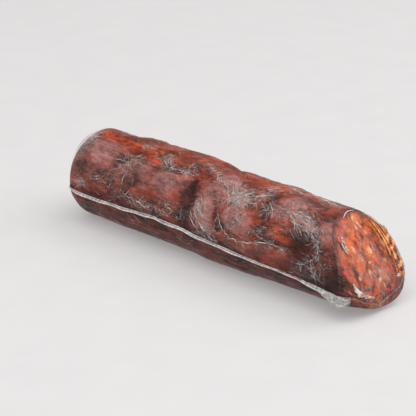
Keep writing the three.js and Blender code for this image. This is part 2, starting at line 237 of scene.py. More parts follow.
# Wrinkles stacked side by side: along, around, reach, spread, lines, length, slope in degrees
STACKS = [
    (104, 30, 5, 9, 18, 8, -50), (112, 8, 6, 5, 12, 7, -40), (167, 55, 10, 6, 22, 11, -12),
    (172, 42, 8, 4, 10, 8, -8), (62, 7, 16, 3, 14, 7, 4), (9, 60, 3, 9, 16, 8, 35),
    (14, 5, 7, 2, 6, 6, 12), (46, 85, 5, 3, 8, 6, -30), (64, 76, 5, 3, 8, 6, -35),
    (172, 95, 8, 3, 8, 10, -4), (124, 46, 6, 8, 24, 6, 75), (186, 30, 5, 12, 8, 6, -70),
    (180, -2, 8, 5, 8, 9, -20), (196, 34, 4, 8, 6, 5, 60), (132, 20, 8, 5, 8, 5, 50),
    (150, 22, 9, 5, 9, 5, 10), (30, 20, 14, 4, 6, 6, 5), (84, 14, 8, 6, 8, 6, -45),
]
WRINKLE_SEED = 233
FAINT_WRINKLES = 260
HAIRS = 3.1  # how many fine folds are drawn for each one named above
BACK_CLUSTERS = 34
# A fine fold's thickness and glint: the least, and what the strongest has over it
HAIR_THICK = (0.05, 0.12)
HAIR_GLINT = (0.16, 0.5)
# A short fold's step in millimetres, how far it curls and wobbles in degrees, how far the folds
# of a star stray from its rays, and the strip along the cut's edge without folds
STROKE_STEP = 0.7
STROKE_CURL = 45
STROKE_WOBBLE = 9
STAR_STRAY = 24
BARE_AT_CUT = 3

# Fine folds of the film on the cut: across, up, reach, spread, lines, length, slope in degrees
FACE_STACKS = [
    (-15.0, -5.5, 6, 2.2, 14, 5, -56), (-14.4, 14.6, 0.6, 3.4, 14, 1.8, -76),
    (-12.0, 6.0, 2, 7, 8, 5, -80), (0.0, 0.0, 9, 9, 60, 5, -60),
    (19.4, 9.0, 1.2, 2.4, 26, 1.6, -40), (19.0, 2.4, 1.4, 2.4, 22, 1.6, -60),
    (19.4, -4.6, 1.2, 1.6, 22, 1.3, -60), (15.0, -8.6, 2.0, 1.2, 22, 1.3, -20),
    (-16.4, 14.0, 0.6, 3.0, 14, 2.0, -80), (-2.0, -13.0, 5, 4, 26, 6, -62),
]
# The same for the fine folds on the cut
CUT_HAIR_THICK = (0.06, 0.13)
CUT_HAIR_GLINT = (0.12, 0.5)
LONGEST_GLINT = 3  # folds up to this length are glints, short and bright
# The film's rim over the top of the cut, across and up
TOP_RIM = [(-6.2, 23.0), (-2.6, 24.1), (1.2, 24.3), (5.6, 23.5)]
# The amber film at the cut's back: its inner edge, across and up
AMBER_EDGE = [(8.6, 18.4), (11.4, 12.4), (12.6, 5.6), (12.6, -1.0), (12.4, -6.6), (12.6, -10.0)]
# The torn flap at the cut's lower front: its spine, across and up, and its width
FLAP = [(-21.6, -2.4), (-17.4, -6.6), (-12.6, -10.4), (-6.4, -14.2)]
FLAP_WIDTH = 2.6

# How far the welded edge leans down along the sides, and how much further at the ends
EDGE_DROOP = 38
EDGE_DROOP_AT_ENDS = 40
# Its bubbles: the share of the spots left bare, their tilt in degrees and their flatness
BARE_SPOTS = 0.35
BUBBLE_TILT = -35
BUBBLE_FLATNESS = 0.35

# The gathered tail: where it starts and ends along the sausage, and its two sheets of film,
# each with a width, a tilt in degrees and a seed
TAIL_FROM = 180
TAIL_TO = 206
TAIL_SHEETS = [(4.2, 72, 71), (2.6, 40, 72)]
# How far its strands hang at most, the step of their route and how many there are
TAIL_DROP = 4.6
TAIL_STEP = 0.6
TAIL_STRANDS = 110

# Pleats of the film on the cut face: thickness and the bent line, across and up
FACE_PLEATS = [
    (0.22, [(-20.4, -6.0), (-15.6, -12.6), (-9.6, -17.6), (-4.0, -20.2)]),
    (0.24, [(3.4, -9.0), (0.4, -14.6), (-0.8, -19.6)]),
    (0.55, [(7.4, 18.4), (10.6, 14.6), (14.4, 9.4), (17.0, 3.8), (17.4, -2.6)]),
    (0.40, [(9.6, 18.2), (13.4, 13.4), (16.8, 8.6), (19.0, 3.0)]),
    (0.32, [(5.4, 14.6), (8.6, 10.4), (11.0, 5.8), (12.6, 0.6)]),
    (0.28, [(11.4, 16.6), (15.6, 11.8), (18.8, 8.4)]),
    (0.30, [(13.6, 6.6), (15.2, 2.4), (15.6, -2.0)]),
    (0.26, [(8.4, 12.8), (10.8, 9.0), (12.8, 4.8)]),
    (0.30, [(-1.4, -9.4), (-2.4, -13.4), (-5.6, -16.6)]),
    (0.24, [(-4.6, -10.8), (-7.0, -13.6), (-9.6, -15.6)]),
    (0.22, [(-14.0, -4.0), (-12.6, -7.6), (-10.4, -10.8)]),
    (0.22, [(20.6, 1.6), (21.6, -3.0), (20.4, -8.0)]),
]


def smooth_step(value, low, high):
    """0 below low, 1 above high and a soft way between."""
    t = np.clip((np.asarray(value, dtype=float) - low) / (high - low), 0.0, 1.0)
    return t * t * (3.0 - 2.0 * t)


def turn_between(angle, other):
    """The shorter way round from one angle to another, in degrees."""
    return (np.asarray(angle, dtype=float) - other + 540.0) % 360.0 - 180.0


def park_miller(seed):
    """Random numbers from 0 to 1 by the same rule as the frame's small lumps."""
    state = seed
    while True:
        state = (state * 16807) % 2147483647
        yield state / 2147483647


def mottle(points, size, seed, waves=16):
    """Soft noise from about -1 to 1 with patches of the given size, as crossing waves."""
    draw = random.Random(seed)
    total = np.zeros(points.shape[:-1])
    for _ in range(waves):
        way = Vector([draw.gauss(0, 1) for _ in range(points.shape[-1])]).normalized()
        pitch = size * draw.uniform(1.2, 3.2)
        phase = draw.uniform(0, 2 * math.pi)
        total += np.sin(points @ np.array(way) * (2 * math.pi / pitch) + phase)
    return total / math.sqrt(waves / 2) / 1.6


class Form:
    """The sausage's surface, worked out in millimetres from its length and diameter."""

    def __init__(self, sizes):
        self.length = sizes.length / MM
        self.radius = sizes.diameter / MM / 2
        self.axis_height = self.radius - REST_SINK
        self.lumps = LUMPS + self.small_lumps()
        self.fine_lumps = self.drawn_fine_lumps()

    def small_lumps(self):
        draw = park_miller(SMALL_SEED)
        lumps = []
        for _ in range(SMALL_LUMPS):
            along = next(draw) * self.length
            around = next(draw) * 360
            size = SMALL_REACH[0] + next(draw) * (SMALL_REACH[1] - SMALL_REACH[0])
            shape = 0.7 + 0.6 * next(draw)
            height = 2 * next(draw) - 1
            rise = SMALL_RISE_BACK if BACK_FROM < around < BACK_TO else SMALL_RISE_SHOWN
            lumps.append((along, around, size * shape, size / shape, height * rise))
        return lumps

    def drawn_fine_lumps(self):
        draw = random.Random(FINE_SEED)
        lumps = []
        for _ in range(FINE_LUMPS):
            size = draw.uniform(*FINE_REACH)
            shape = draw.uniform(0.75, 1.5)
            place = (draw.uniform(0, self.length), draw.uniform(0, 360))
            rise = draw.uniform(-1, 1) * FINE_RISE
            lumps.append((*place, size * shape, size / shape, rise))
        return lumps

    def arc(self, angle):
        return np.radians(angle) * self.radius

    def sum_of(self, lumps, along, around):
        rise = np.zeros(np.shape(along))
        for at, angle, reach, spread, height in lumps:
            u = (along - at) / reach
            v = self.arc(turn_between(around, angle)) / spread
            rise += height * np.exp(-(u * u + v * v))
        return rise

    def distance_to(self, line, along, around):
        """The distance on the unrolled surface to a bent line."""
        nearest = np.full(np.shape(along), 1e9)
        for (x0, a0), (x1, a1) in zip(line, line[1:]):
            from_x = x0 - along
            from_y = self.arc(turn_between(a0, around))
            step_x = x1 - x0
            step_y = self.arc(a1 - a0)
            t = -(from_x * step_x + from_y * step_y) / (step_x ** 2 + step_y ** 2)
            t = np.clip(t, 0, 1)
            nearest = np.minimum(nearest, np.hypot(from_x + t * step_x, from_y + t * step_y))
        return nearest

    def creasing(self, along, around):
        """How deep the creases run, 0 away from them."""
        depth = np.zeros(np.shape(along))
        for deep, width, line in CREASES:
            away = self.distance_to(line, along, around) / width
            depth += deep * np.exp(-away * away)
        return depth

    def calm(self, around):
        """0 on the stretch that it rests on, 1 away from it."""
        from_lowest = np.abs(turn_between(around, 270))
        return smooth_step(from_lowest, REST_HALF_ANGLE / 2, REST_HALF_ANGLE * 1.6)

    def relief(self, along, around):
        rise = self.sum_of(self.lumps, along, around) - self.creasing(along, around)
        return rise * self.calm(around)

    def cut_along(self, across, up):
        plane = CUT_AT_AXIS - CUT_LEAN * up + CUT_SKEW * across
        lip = LIP_AT + LIP_FURTHER * smooth_step(across, 0, LIP_FURTHER_BY)
        return lip - LIP_SOFTNESS * np.logaddexp(0, (lip - plane) / LIP_SOFTNESS)

    def section(self, along, around, share, rise):
        """The place in the section: towards the back and above the axis."""
        angle = np.radians(around)
        radius = self.radius * share + rise * share * share
        across = -radius * np.cos(angle) * WIDER
        up = radius * np.sin(angle)
        front = (1 - across / (self.radius * WIDER)) / 2
        lift = LIP_LIFT * smooth_step(along, LIP_LIFT_FROM, self.length) ** 2
        slim = SLIMMER * smooth_step(along, SLIMMER_FROM, self.length)
        up = np.where(up < 0, up * (1 - front * (lift + slim) / self.radius), up)
        return across, up

    def blunt_share(self, along):
        """The share of the full radius near the blunt end."""
        left = np.clip(1 - np.asarray(along, dtype=float) / BLUNT_DEPTH, 0, 1)
        return (1 - left ** BLUNT_POWER) ** (1 / BLUNT_POWER)

    def edge_of_cut(self, around):
        at = np.full(np.shape(around), self.length - CUT_FROM_END)
        across, up = self.section(at, around, 1.0, self.relief(at, around))
        return self.cut_along(across, up)

    def edge_round(self, around):
        away = turn_between(around, SHOULDER_AROUND) / SHOULDER_REACH
        return EDGE_ROUND + SHOULDER_ROUND * np.exp(-away * away)

    def face_along(self, across, up, share, bend, around):
        """Where the cut face lies; bend is 1 at the foot of its rounded edge, 0 on the face."""
        bulge = CUT_BULGE * (0.5 - share * share)
        drop = self.radius * self.edge_round(around) * bend ** EDGE_POWER
        return self.cut_along(across, up) + bulge - drop

    def place(self, along, across, up, floor=0.0):
        """A point of the frame, in metres, never below the floor height given in millimetres."""
        height = np.maximum(up + self.axis_height, floor)
        return np.stack([along - MIDDLE, across, height], axis=-1) * MM

    def inside(self, along, across, up):
        around = np.degrees(np.arctan2(up, -across / WIDER)) % 360
        share = self.blunt_share(along)
        rim = self.section(along, around, share, self.relief(along, around))
        out = np.hypot(across, up) / np.maximum(np.hypot(*rim), 1e-6)
        edge = self.edge_round(around)
        bend = np.maximum(out - 1 + edge, 0) / edge
        face = self.face_along(across, up, out, bend, around)
        return (along > 0) & (out < 1) & (along < face)

    def seam_height(self, along):
        curve = SEAM_HEIGHTS
        i = 0
        while i + 2 < len(curve) and along > curve[i + 1][0]:
            i += 1
        t = float(smooth_step(along, curve[i][0], curve[i + 1][0]))
        return curve[i][1] + t * (curve[i + 1][1] - curve[i][1])

    def seam_route(self, step=1.2, fan_steps=48):
        """The film's welded edge, round the sausage: front, lip, back and blunt end."""
        first = SEAM_FAN_INSET
        last = self.length - SEAM_FAN_INSET
        steps = round((last - first) / step)
        shares = np.arange(steps) / steps
        fan = np.arange(fan_steps) / fan_steps * 180
        along = np.concatenate([
            first + shares * (last - first), np.full(fan_steps, last),
            last - shares * (last - first), np.full(fan_steps, first),
        ])
        turn = np.radians(np.concatenate([
            np.full(steps, -90.0), fan - 90, np.full(steps, 90.0), fan + 90,
        ]))
        way = np.stack([np.cos(turn), np.sin(turn)])
        guess = along + way[0] * self.radius
        up = np.array([self.seam_height(x) for x in guess]) - self.axis_height
        inner = np.zeros(len(along))
        outer = np.full(len(along), self.radius * 2)
        for _ in range(24):
            middle = (inner + outer) / 2
            within = self.inside(along + way[0] * middle, way[1] * middle, up)
            inner = np.where(within, middle, inner)
            outer = np.where(within, outer, middle)
        return np.stack([along + way[0] * inner, way[1] * inner, up], axis=-1)


def shares(count):
    """The shares from 1 / count up to 1, one in each row."""
    return np.arange(1, count + 1)[:, None] / count


class Skin:
    """A closed skin of rings round the sausage, from the blunt end in over the cut face."""

    def __init__(self, form, sides, blunt_rings, side_rings, edge_rings, face_rings):
        self.form = form
        self.sides = sides
        around = (270 + np.arange(sides) * 360 / sides) % 360
        edge = form.edge_of_cut(around)
        rounding = form.edge_round(around)
        end = edge - form.radius * rounding - CUT_BULGE / 2
        power = 2 / BLUNT_POWER
        turn = shares(blunt_rings) * math.pi / 2
        bent = np.cos(shares(edge_rings) * math.pi / 2) ** EDGE_BEND_POWER
        inward = shares(face_rings) * face_rings / (face_rings + 1)
        stretches = [
            (BLUNT_DEPTH * (1 - np.maximum(np.cos(turn), 0) ** power), np.sin(turn) ** power, 1),
            (BLUNT_DEPTH + shares(side_rings) * (end - BLUNT_DEPTH), 1, 1),
            (edge - form.radius * rounding * bent, 1 - rounding * (1 - bent), bent),
            (edge, (1 - rounding) * (1 - inward), 0),
        ]
        counts = (blunt_rings, side_rings, edge_rings, face_rings)
        self.along, self.share, self.bend = (
            np.concatenate([np.broadcast_to(part, (count, sides))
                            for part, count in zip(parts, counts)])
            for parts in zip(*stretches)
        )
        self.around = np.broadcast_to(around, self.along.shape)
        on_face = np.arange(len(self.along))[:, None] >= blunt_rings + side_rings
        self.on_face = np.broadcast_to(on_face, self.along.shape)

    def points(self, rise, face_rise, floor):
        """The rings' points in metres, for a relief of the side and of the face in millimetres."""
        form = self.form
        on_side = np.where(self.on_face, 1.0, self.share)
        across, up = form.section(self.along, self.around, on_side, rise)
        shrink = np.where(self.on_face, self.share, 1.0)
        across, up = across * shrink, up * shrink
        face = form.face_along(across, up, self.share, self.bend, self.around)
        along = np.where(self.on_face, face + face_rise, self.along)
        self.across, self.up = across, up
        return form.place(along, across, up, floor)

    def ends(self, points):
        """The middle of the blunt end and of the face."""
        return points[0].mean(axis=0), points[-1].mean(axis=0)


def outward(points):
    """Normals of a grid of points, rings by sides, closed round its sides."""
    around = np.roll(points, -1, axis=1) - np.roll(points, 1, axis=1)
    along = np.gradient(points, axis=0)
    normal = np.cross(along, around)
    return normal / np.maximum(np.linalg.norm(normal, axis=-1, keepdims=True), 1e-12)


def mesh_of_rings(name, points, ends):
    """A closed mesh over rings of points between two end points."""
    rings, sides = points.shape[:2]
    vertices = np.vstack([ends[0][None], points.reshape(-1, 3), ends[1][None]])
    ring, side = np.meshgrid(np.arange(rings - 1), np.arange(sides), indexing="ij")
    after = (side + 1) % sides
    a, b = 1 + ring * sides + side, 1 + ring * sides + after
    d, c = a + sides, b + sides
    faces = np.stack([a, d, c, b], axis=-1).reshape(-1, 4).tolist()
    last = len(vertices) - 1
    for i in range(sides):
        j = (i + 1) % sides
        faces.append([0, 1 + i, 1 + j])
        faces.append([last, last - sides + j, last - sides + i])
    return new_mesh(name, vertices.tolist(), faces)


def new_mesh(name, vertices, faces, edges=()):
    mesh = bpy.data.meshes.new(name)
    mesh.from_pydata(vertices, list(edges), faces)
    mesh.validate()
    mesh.shade_smooth()
    return mesh


def new_piece(name, mesh, *materials):
    """An object of this name at the origin with its materials."""
    piece = bpy.data.objects.new(name, mesh)
    bpy.context.scene.collection.objects.link(piece)
    mesh.name = name
    for material in materials:
        mesh.materials.append(material)
    return piece


def settle(piece, solid=None):
    """Ride on the sausage's body, in place of a solid where it has one."""
    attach(piece, BODY)
    if solid:
        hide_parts(solid)


def write_attribute(mesh, name, values, kind="FLOAT"):
    attribute = mesh.attributes.new(name, kind, "POINT")
    key = "vector" if kind == "FLOAT_VECTOR" else "value"
    attribute.data.foreach_set(key, np.asarray(values, dtype=np.float32).ravel())


def with_ends(values):
    """Values of the rings' points with one for each end, in the order of the mesh's vertices."""
    return np.concatenate([[values[0].mean()], values.ravel(), [values[-1].mean()]])


def soft_union(patches, form, along, around):
    """Where soft patches lie, 0 to 1, each along, around, reach, spread, strength."""
    clear = np.ones(np.shape(along))
    for at, angle, reach, spread, strength in patches:
        u = (along - at) / reach
        v = form.arc(turn_between(around, angle)) / spread
        clear *= 1 - strength * np.exp(-(u * u + v * v) ** 1.4)
    return 1 - clear


def soft_spots(spots, across, up):
    """Where spots of the cut face lie, 0 to 1, each across, up, wide, high."""
    clear = np.ones(np.shape(across))
    for x, y, wide, high in spots:
        u = (across - x) / wide
        v = (up - y) / high
        clear *= 1 - np.exp(-(u * u + v * v) ** 1.6)
    return 1 - clear


def back_patches(kind, seed):
    """Patches for the sides that are turned away, drawn by rule."""
    draw = random.Random(seed)
    patches = []
    for _ in range(BACK_MARKS[kind]):
        place = (draw.uniform(4, 200), draw.uniform(112, 322))
        reach = draw.uniform(4, 13)
        patches.append((*place, reach, reach * draw.uniform(0.35, 0.8), draw.uniform(0.45, 0.95)))
    return patches


class Nodes:
    """Adds nodes to a tree and links them by short calls."""

    def feed(self, socket, value):
        """A value or another node's output into a socket; a colour comes without its alpha."""
        if isinstance(value, bpy.types.NodeSocket):
            self.tree.links.new(value, socket)
        elif socket.type == "RGBA":
            socket.default_value = (*value, 1.0)
        else:
            socket.default_value = value

    def node(self, kind, inputs=None, **settings):
        """A node, with what goes into its sockets, each by its name or number."""
        node = self.tree.nodes.new(kind)
        for key, value in settings.items():
            setattr(node, key, value)
        for key, value in (inputs or {}).items():
            self.feed(node.inputs[key], value)
        return node

    def sums(self, how, *values):
        return self.node("ShaderNodeMath", dict(enumerate(values)), operation=how).outputs[0]

    def times(self, first, second):
        return self.sums("MULTIPLY", first, second)

    def plus(self, first, second):
        return self.sums("ADD", first, second)


class Finish(Nodes):
    """A material and the nodes that lead to its shader."""

    def __init__(self, name):
        self.material = bpy.data.materials.new(name)
        self.material.use_nodes = True
        self.tree = self.material.node_tree
        self.shader = self.tree.nodes["Principled BSDF"]

    def attribute(self, name):
        return self.node("ShaderNodeAttribute", attribute_name=name).outputs["Fac"]

    def place(self, stretch=(1, 1, 1), shift=0.0):
        """Object coordinates, drawn out, and shifted so that no two patterns are alike."""
        where = self.node("ShaderNodeTexCoord").outputs["Object"]
        mapping = {"Vector": where, "Location": (shift,) * 3, "Scale": stretch}
        return self.node("ShaderNodeMapping", mapping).outputs[0]

    def noise(self, where, per_metre, detail=3, rough=0.6):
        pattern = {"Vector": where, "Scale": per_metre, "Detail": detail, "Roughness": rough}
        return self.node("ShaderNodeTexNoise", pattern).outputs["Fac"]

    def winding(self, where, per_metre):
        """0 along winding lines and more away from them."""
        return self.sums("ABSOLUTE", self.sums("SUBTRACT", self.noise(where, per_metre), 0.5))

    def grazing(self, blend):
        """More where the surface is seen from the side."""
        return self.node("ShaderNodeLayerWeight", {"Blend": blend}).outputs["Facing"]

    def ramp(self, value, low, high, to_low=0.0, to_high=1.0):
        """A soft way from one level to another, while the value goes from low to high."""
        levels = {"Value": value, "From Min": low, "From Max": high, "To Min": to_low,
                  "To Max": to_high}
        node = self.node("ShaderNodeMapRange", levels, interpolation_type="SMOOTHSTEP")
        return node.outputs["Result"]

    def mix(self, share, first, second, blend="MIX"):
        parts = {0: share, 6: first, 7: second}
        return self.node("ShaderNodeMix", parts, data_type="RGBA", blend_type=blend).outputs[2]

    def bump(self, height, depth, strength=1.0):
        relief = {"Height": height, "Distance": depth, "Strength": strength}
        return self.node("ShaderNodeBump", relief).outputs["Normal"]

    def clamp(self, value):
        return self.node("ShaderNodeClamp", {"Value": value}).outputs[0]

    def set(self, **values):
        """Values or outputs for the shader's sockets, named with _ for a blank."""
        for key, value in values.items():
            self.feed(self.shader.inputs[key.replace("_", " ")], value)
        return self.material


def darker(colour, share):
    return [c * share for c in colour]


def casing_finish(colours):
    """The casing under its film: lean meat, milky veils, painted sheen, oozed fat and painted shade
    in hollows.
    """
    f = Finish("cured_casing")
    broad = f.noise(f.place((0.6, 1, 1)), 105, 4)
    blotch = f.noise(f.place((0.45, 1, 1), 0.31), 260, 4, 0.62)
    cracks = f.noise(f.place((0.4, 1, 1), 0.77), 210, 4)
    fibre = f.noise(f.place((0.4, 1, 1), 0.53), 620, 4, 0.62)
    colour = f.mix(f.ramp(broad, 0.38, 0.6), colours.dark_lean, colours.lean)
    oil = f.times(f.attribute("oil"), f.ramp(fibre, 0.3, 0.62, 0.35, 1.0))
    oil = f.sums("MAXIMUM", oil, f.ramp(blotch, 0.5, 0.64, 0.0, 0.3))
    colour = f.mix(oil, colour, colours.oozed_fat)
    haze = f.times(f.ramp(fibre, 0.3, 0.66, 0.6, 1.0), f.ramp(broad, 0.32, 0.56, 0.6, 1.0))
    veil_and_sheen = f.times(f.attribute("veil_and_sheen"), haze)
    colour = f.mix(veil_and_sheen, colour, colours.veil_and_sheen)
    dark = f.times(f.ramp(cracks, 0.32, 0.52, 0.5, 0.0), f.ramp(veil_and_sheen, 0.1, 0.6, 1.0, 0.3))
    # painted shade from the marks; with the dark cracks it takes the darkest colour
    shade = f.times(f.attribute("shade"), f.ramp(broad, 0.3, 0.7, 1.0, 0.7))
    colour = f.mix(f.sums("MAXIMUM", shade, dark), colour, colours.shade_and_cracks)
    threads = f.mix(fibre, (0.25, 0.22, 0.22), (1.8, 1.8, 1.8))
    colour = f.mix(0.6, colour, threads, "MULTIPLY")
    clouds = f.mix(f.ramp(blotch, 0.36, 0.62), (0.5, 0.46, 0.45), (1.4, 1.38, 1.36))
    colour = f.mix(0.5, colour, clouds, "MULTIPLY")
    height = f.plus(fibre, f.times(cracks, 1.5))
    return f.set(
        Base_Color=colour,
        Roughness=f.ramp(fibre, 0.3, 0.7, 0.3, 0.5),
        Specular_IOR_Level=0.1,
        Coat_Weight=0.22,
        Coat_Roughness=0.07,
        Coat_Normal=f.bump(cracks, 0.004),
        Subsurface_Weight=0.04,
        Subsurface_Radius=(0.003, 0.001, 0.0008),
        Subsurface_Scale=1.0,
        Normal=f.bump(height, 0.0019),
    )


def cut_meat_finish(colours):
    """The cut face: minced lean and fat under wet film."""
    f = Finish("cut_meat")
    where = f.place()
    swirl = f.node("ShaderNodeTexNoise", {"Vector": where, "Scale": 170}).outputs["Color"]
    shift = f.node("ShaderNodeVectorMath", {0: swirl, 1: (0.006,) * 3}, operation="MULTIPLY")
    warped = f.node("ShaderNodeVectorMath", {0: where, 1: shift.outputs[0]}, operation="ADD")
    turned = f.node("ShaderNodeMapping", {
        "Vector": warped.outputs[0], "Rotation": (0.5, 0.3, 0.2), "Scale": (1, 1, 0.6)})
    grain = f.noise(turned.outputs[0], 180, 4)
    second = f.noise(f.place((1, 1, 0.6), 0.37), 190, 4)
    third = f.noise(f.place((1, 1, 0.6), 0.71), 200, 4)
    fine = f.noise(where, 1000)
    colour = f.mix(f.ramp(grain, 0.36, 0.58), colours.cut_dark_and_shade, colours.cut_lean)
    colour = f.mix(f.ramp(second, 0.5, 0.64, 0.0, 0.9), colour, colours.cut_red)
    colour = f.mix(f.ramp(third, 0.56, 0.7, 0.0, 0.6), colour, colours.cut_orange)
    lilac = f.times(f.attribute("lilac"), f.ramp(second, 0.3, 0.6, 1.0, 0.35))
    colour = f.mix(lilac, colour, colours.cut_lilac)
    # painted shade on the cut
    colour = f.mix(f.times(f.attribute("shade"), 0.85), colour, colours.cut_dark_and_shade)
    oil = f.times(f.attribute("oil"), f.ramp(grain, 0.35, 0.6, 0.25, 0.85))
    colour = f.mix(oil, colour, colours.cut_orange)
    fat = f.times(f.attribute("fat"), f.ramp(fine, 0.3, 0.6, 0.35, 0.95))
    colour = f.mix(fat, colour, colours.fat)
    crumbs = f.mix(fine, (0.35, 0.31, 0.3), (1.75, 1.72, 1.7))
    height = f.plus(grain, f.times(fine, 0.5))
    return f.set(
        Base_Color=f.mix(0.75, colour, crumbs, "MULTIPLY"),
        Roughness=f.ramp(fine, 0.3, 0.7, 0.2, 0.42),
        Specular_IOR_Level=0.22,
        Coat_Weight=0.35,
        Coat_Roughness=0.05,
        Coat_Normal=f.bump(height, 0.002),
        Subsurface_Weight=0.1,
        Subsurface_Radius=(0.003, 0.0012, 0.0006),
        Subsurface_Scale=1.0,
        Normal=f.bump(height, 0.0008, 0.7),
    )


def clear_film_finish(colours):
    """The clear film: all but unseen where it lies flat, white along its finest crinkles, partly
    painted glints.
    """
    f = Finish("clear_film")
    where = f.place((0.7, 1, 1))
    ridge = f.winding(where, 280)
    lines = f.ramp(ridge, 0.0, 0.02, 1.0, 0.0)
    hairs = f.ramp(f.winding(where, 560), 0.0, 0.018, 1.0, 0.0)
    patch = f.ramp(f.noise(where, 150, 2, 0.5), 0.45, 0.7, 0.0, 0.05)
    both = f.plus(f.plus(f.times(lines, 0.4), f.times(hairs, 0.34)), patch)
    seen = f.times(both, f.plus(f.times(f.attribute("crinkle"), 0.9), 0.01))
    # painted sheen: a little whiter where the film is seen from the side
    rim = f.ramp(f.grazing(0.25), 0.7, 1.0, 0.0, 0.05)
    milk = f.times(f.attribute("milk"), f.ramp(ridge, 0.0, 0.3, 0.5, 0.3))
    return f.set(
        Base_Color=colours.film,
        Roughness=0.16,
        Specular_IOR_Level=0.6,
        Alpha=f.clamp(f.plus(f.plus(seen, rim), milk)),
        Normal=f.bump(f.plus(lines, hairs), 0.0002, 0.4),
    )


def wrinkle_finish(name, colour, alpha=1.0, roughness=0.25, specular=0.5):
    """Folded film: brighter and less clear where it is doubled, by each fold's own glint."""
    f = Finish(name)
    grain = f.noise(f.place(), 700, 2, 0.5)
    seen = f.times(f.attribute("glint"), f.ramp(grain, 0.3, 0.7, alpha * 0.65, alpha))
    return f.set(
        Base_Color=f.mix(f.ramp(grain, 0.3, 0.7), darker(colour, 0.75), colour),
        Roughness=roughness,
        Specular_IOR_Level=specular,
        Alpha=f.clamp(seen),
        Normal=f.bump(grain, 0.0001, 0.3),
    )


def flange_finish(colour):
    """Loose crumpled film: clear with bright creases."""
    f = Finish("wet_flange")
    creases = f.ramp(f.winding(f.place(), 330), 0.0, 0.05, 1.0, 0.0)
    # painted sheen: more of the film is seen where it is turned to the side
    seen = f.plus(f.times(creases, 0.45), f.ramp(f.grazing(0.3), 0.2, 1.0, 0.25, 0.9))
    return f.set(
        Base_Color=f.mix(creases, darker(colour, 0.6), colour),
        Roughness=0.15,
        Specular_IOR_Level=0.7,
        Coat_Weight=0.6,
        Coat_Roughness=0.05,
        Alpha=f.clamp(seen),
        Normal=f.bump(creases, 0.0003, 0.6),
    )


def amber_finish(colours):
    """Wet film stained amber: clear where thin, golden and brown in its folds, partly painted light
    and shade.
    """
    f = Finish("amber_film")
    gold = f.attribute("gold")
    grain = f.noise(f.place(), 900)
    tone = f.mix(f.ramp(gold, 0.1, 0.6), colours.amber_dark, colours.wet_film)
    tone = f.mix(f.ramp(gold, 0.5, 1.0, 0.0, 0.8), tone, colours.amber_gold)
    # painted glints on the crests of the folds
    sparkle = f.times(f.ramp(grain, 0.57, 0.64), f.ramp(gold, 0.3, 0.8))
    return f.set(
        Base_Color=f.mix(sparkle, tone, colours.amber_sparkle),
        Roughness=0.12,
        Specular_IOR_Level=0.5,
        Coat_Weight=1.0,
        Coat_Roughness=0.04,
        Alpha=f.times(f.attribute("seen"), f.ramp(gold, 0.0, 0.8, 0.6, 0.95)),
        Normal=f.bump(grain, 0.0004, 0.5),
    )


def torn_finish(name, colour, alpha, stretch, per_metre):
    """Drawn-out film: white where it is drawn thick, clearer between, in streaks."""
    f = Finish(name)
    streak = f.noise(f.place(stretch), per_metre, 4)
    return f.set(
        Base_Color=f.mix(f.ramp(streak, 0.35, 0.65), darker(colour, 0.55), colour),
        Roughness=0.3,
        Specular_IOR_Level=0.5,
        Coat_Weight=0.3,
        Coat_Roughness=0.1,
        Alpha=f.ramp(streak, 0.34, 0.62, alpha * 0.35, alpha),
        Normal=f.bump(streak, 0.0006, 0.7),
    )


def plain_finish(name, colour, roughness, per_metre, depth):
    """A quiet surface with a little unevenness."""
    f = Finish(name)
    grain = f.noise(f.place(), per_metre, 3, 0.5)
    return f.set(
        Base_Color=f.mix(f.ramp(grain, 0.3, 0.7), darker(colour, 0.97), colour),
        Roughness=roughness,
        Specular_IOR_Level=0.3,
        Normal=f.bump(grain, depth, 0.2),
    )


class Knots(Nodes):
    """A Geometry Nodes tree with named inputs, each given as its kind and its default."""

    def __init__(self, name, **inputs):
        self.tree = bpy.data.node_groups.new(name, "GeometryNodeTree")
        shape = "NodeSocketGeometry"
        self.tree.interface.new_socket("Geometry", in_out="INPUT", socket_type=shape)
        self.tree.interface.new_socket("Geometry", in_out="OUTPUT", socket_type=shape)
        inputs["Material"] = ("Material", None)
        self.keys = {}
        for label, (kind, value) in inputs.items():
            socket = self.tree.interface.new_socket(
                label, in_out="INPUT", socket_type="NodeSocket" + kind)
            if value is not None:
                socket.default_value = value
            self.keys[label] = socket.identifier
        self.source = self.tree.nodes.new("NodeGroupInput")

    def step(self, kind, inputs, **settings):
        """What a node makes of its inputs."""
        return self.node(kind, inputs, **settings).outputs[0]

    def given(self, label):
        return self.source.outputs[label]

    def attribute(self, name, kind="FLOAT"):
        return self.step("GeometryNodeInputNamedAttribute", {"Name": name}, data_type=kind)

    def sweep(self, curve, profile, scale):
        return self.step("GeometryNodeCurveToMesh", {
            "Curve": curve, "Profile Curve": profile, "Scale": scale, "Fill Caps": True})

    def finish(self, geometry):
        """Realize Instances and Set Material, and out."""
        real = self.step("GeometryNodeRealizeInstances", {"Geometry": geometry})
        dressed = self.step("GeometryNodeSetMaterial",
                            {"Geometry": real, "Material": self.given("Material")})
        out = self.tree.nodes.new("NodeGroupOutput")
        self.tree.links.new(dressed, out.inputs[0])
        return self


def grown(name, mesh, knots, **values):
    """The mesh that a Geometry Nodes tree makes of a source mesh, as a finished piece."""
    source = bpy.data.objects.new(name + "_source", mesh)
    bpy.context.scene.collection.objects.link(source)
    modifier = source.modifiers.new(name, "NODES")
    modifier.node_group = knots.tree
    for label, value in values.items():
        modifier[knots.keys[label]] = value
    graph = bpy.context.evaluated_depsgraph_get()
    graph.update()
    result = bpy.data.meshes.new_from_object(source.evaluated_get(graph), depsgraph=graph)
    source.modifiers.remove(modifier)
    bpy.data.objects.remove(source)
    result.shade_smooth()
    return new_piece(name, result)


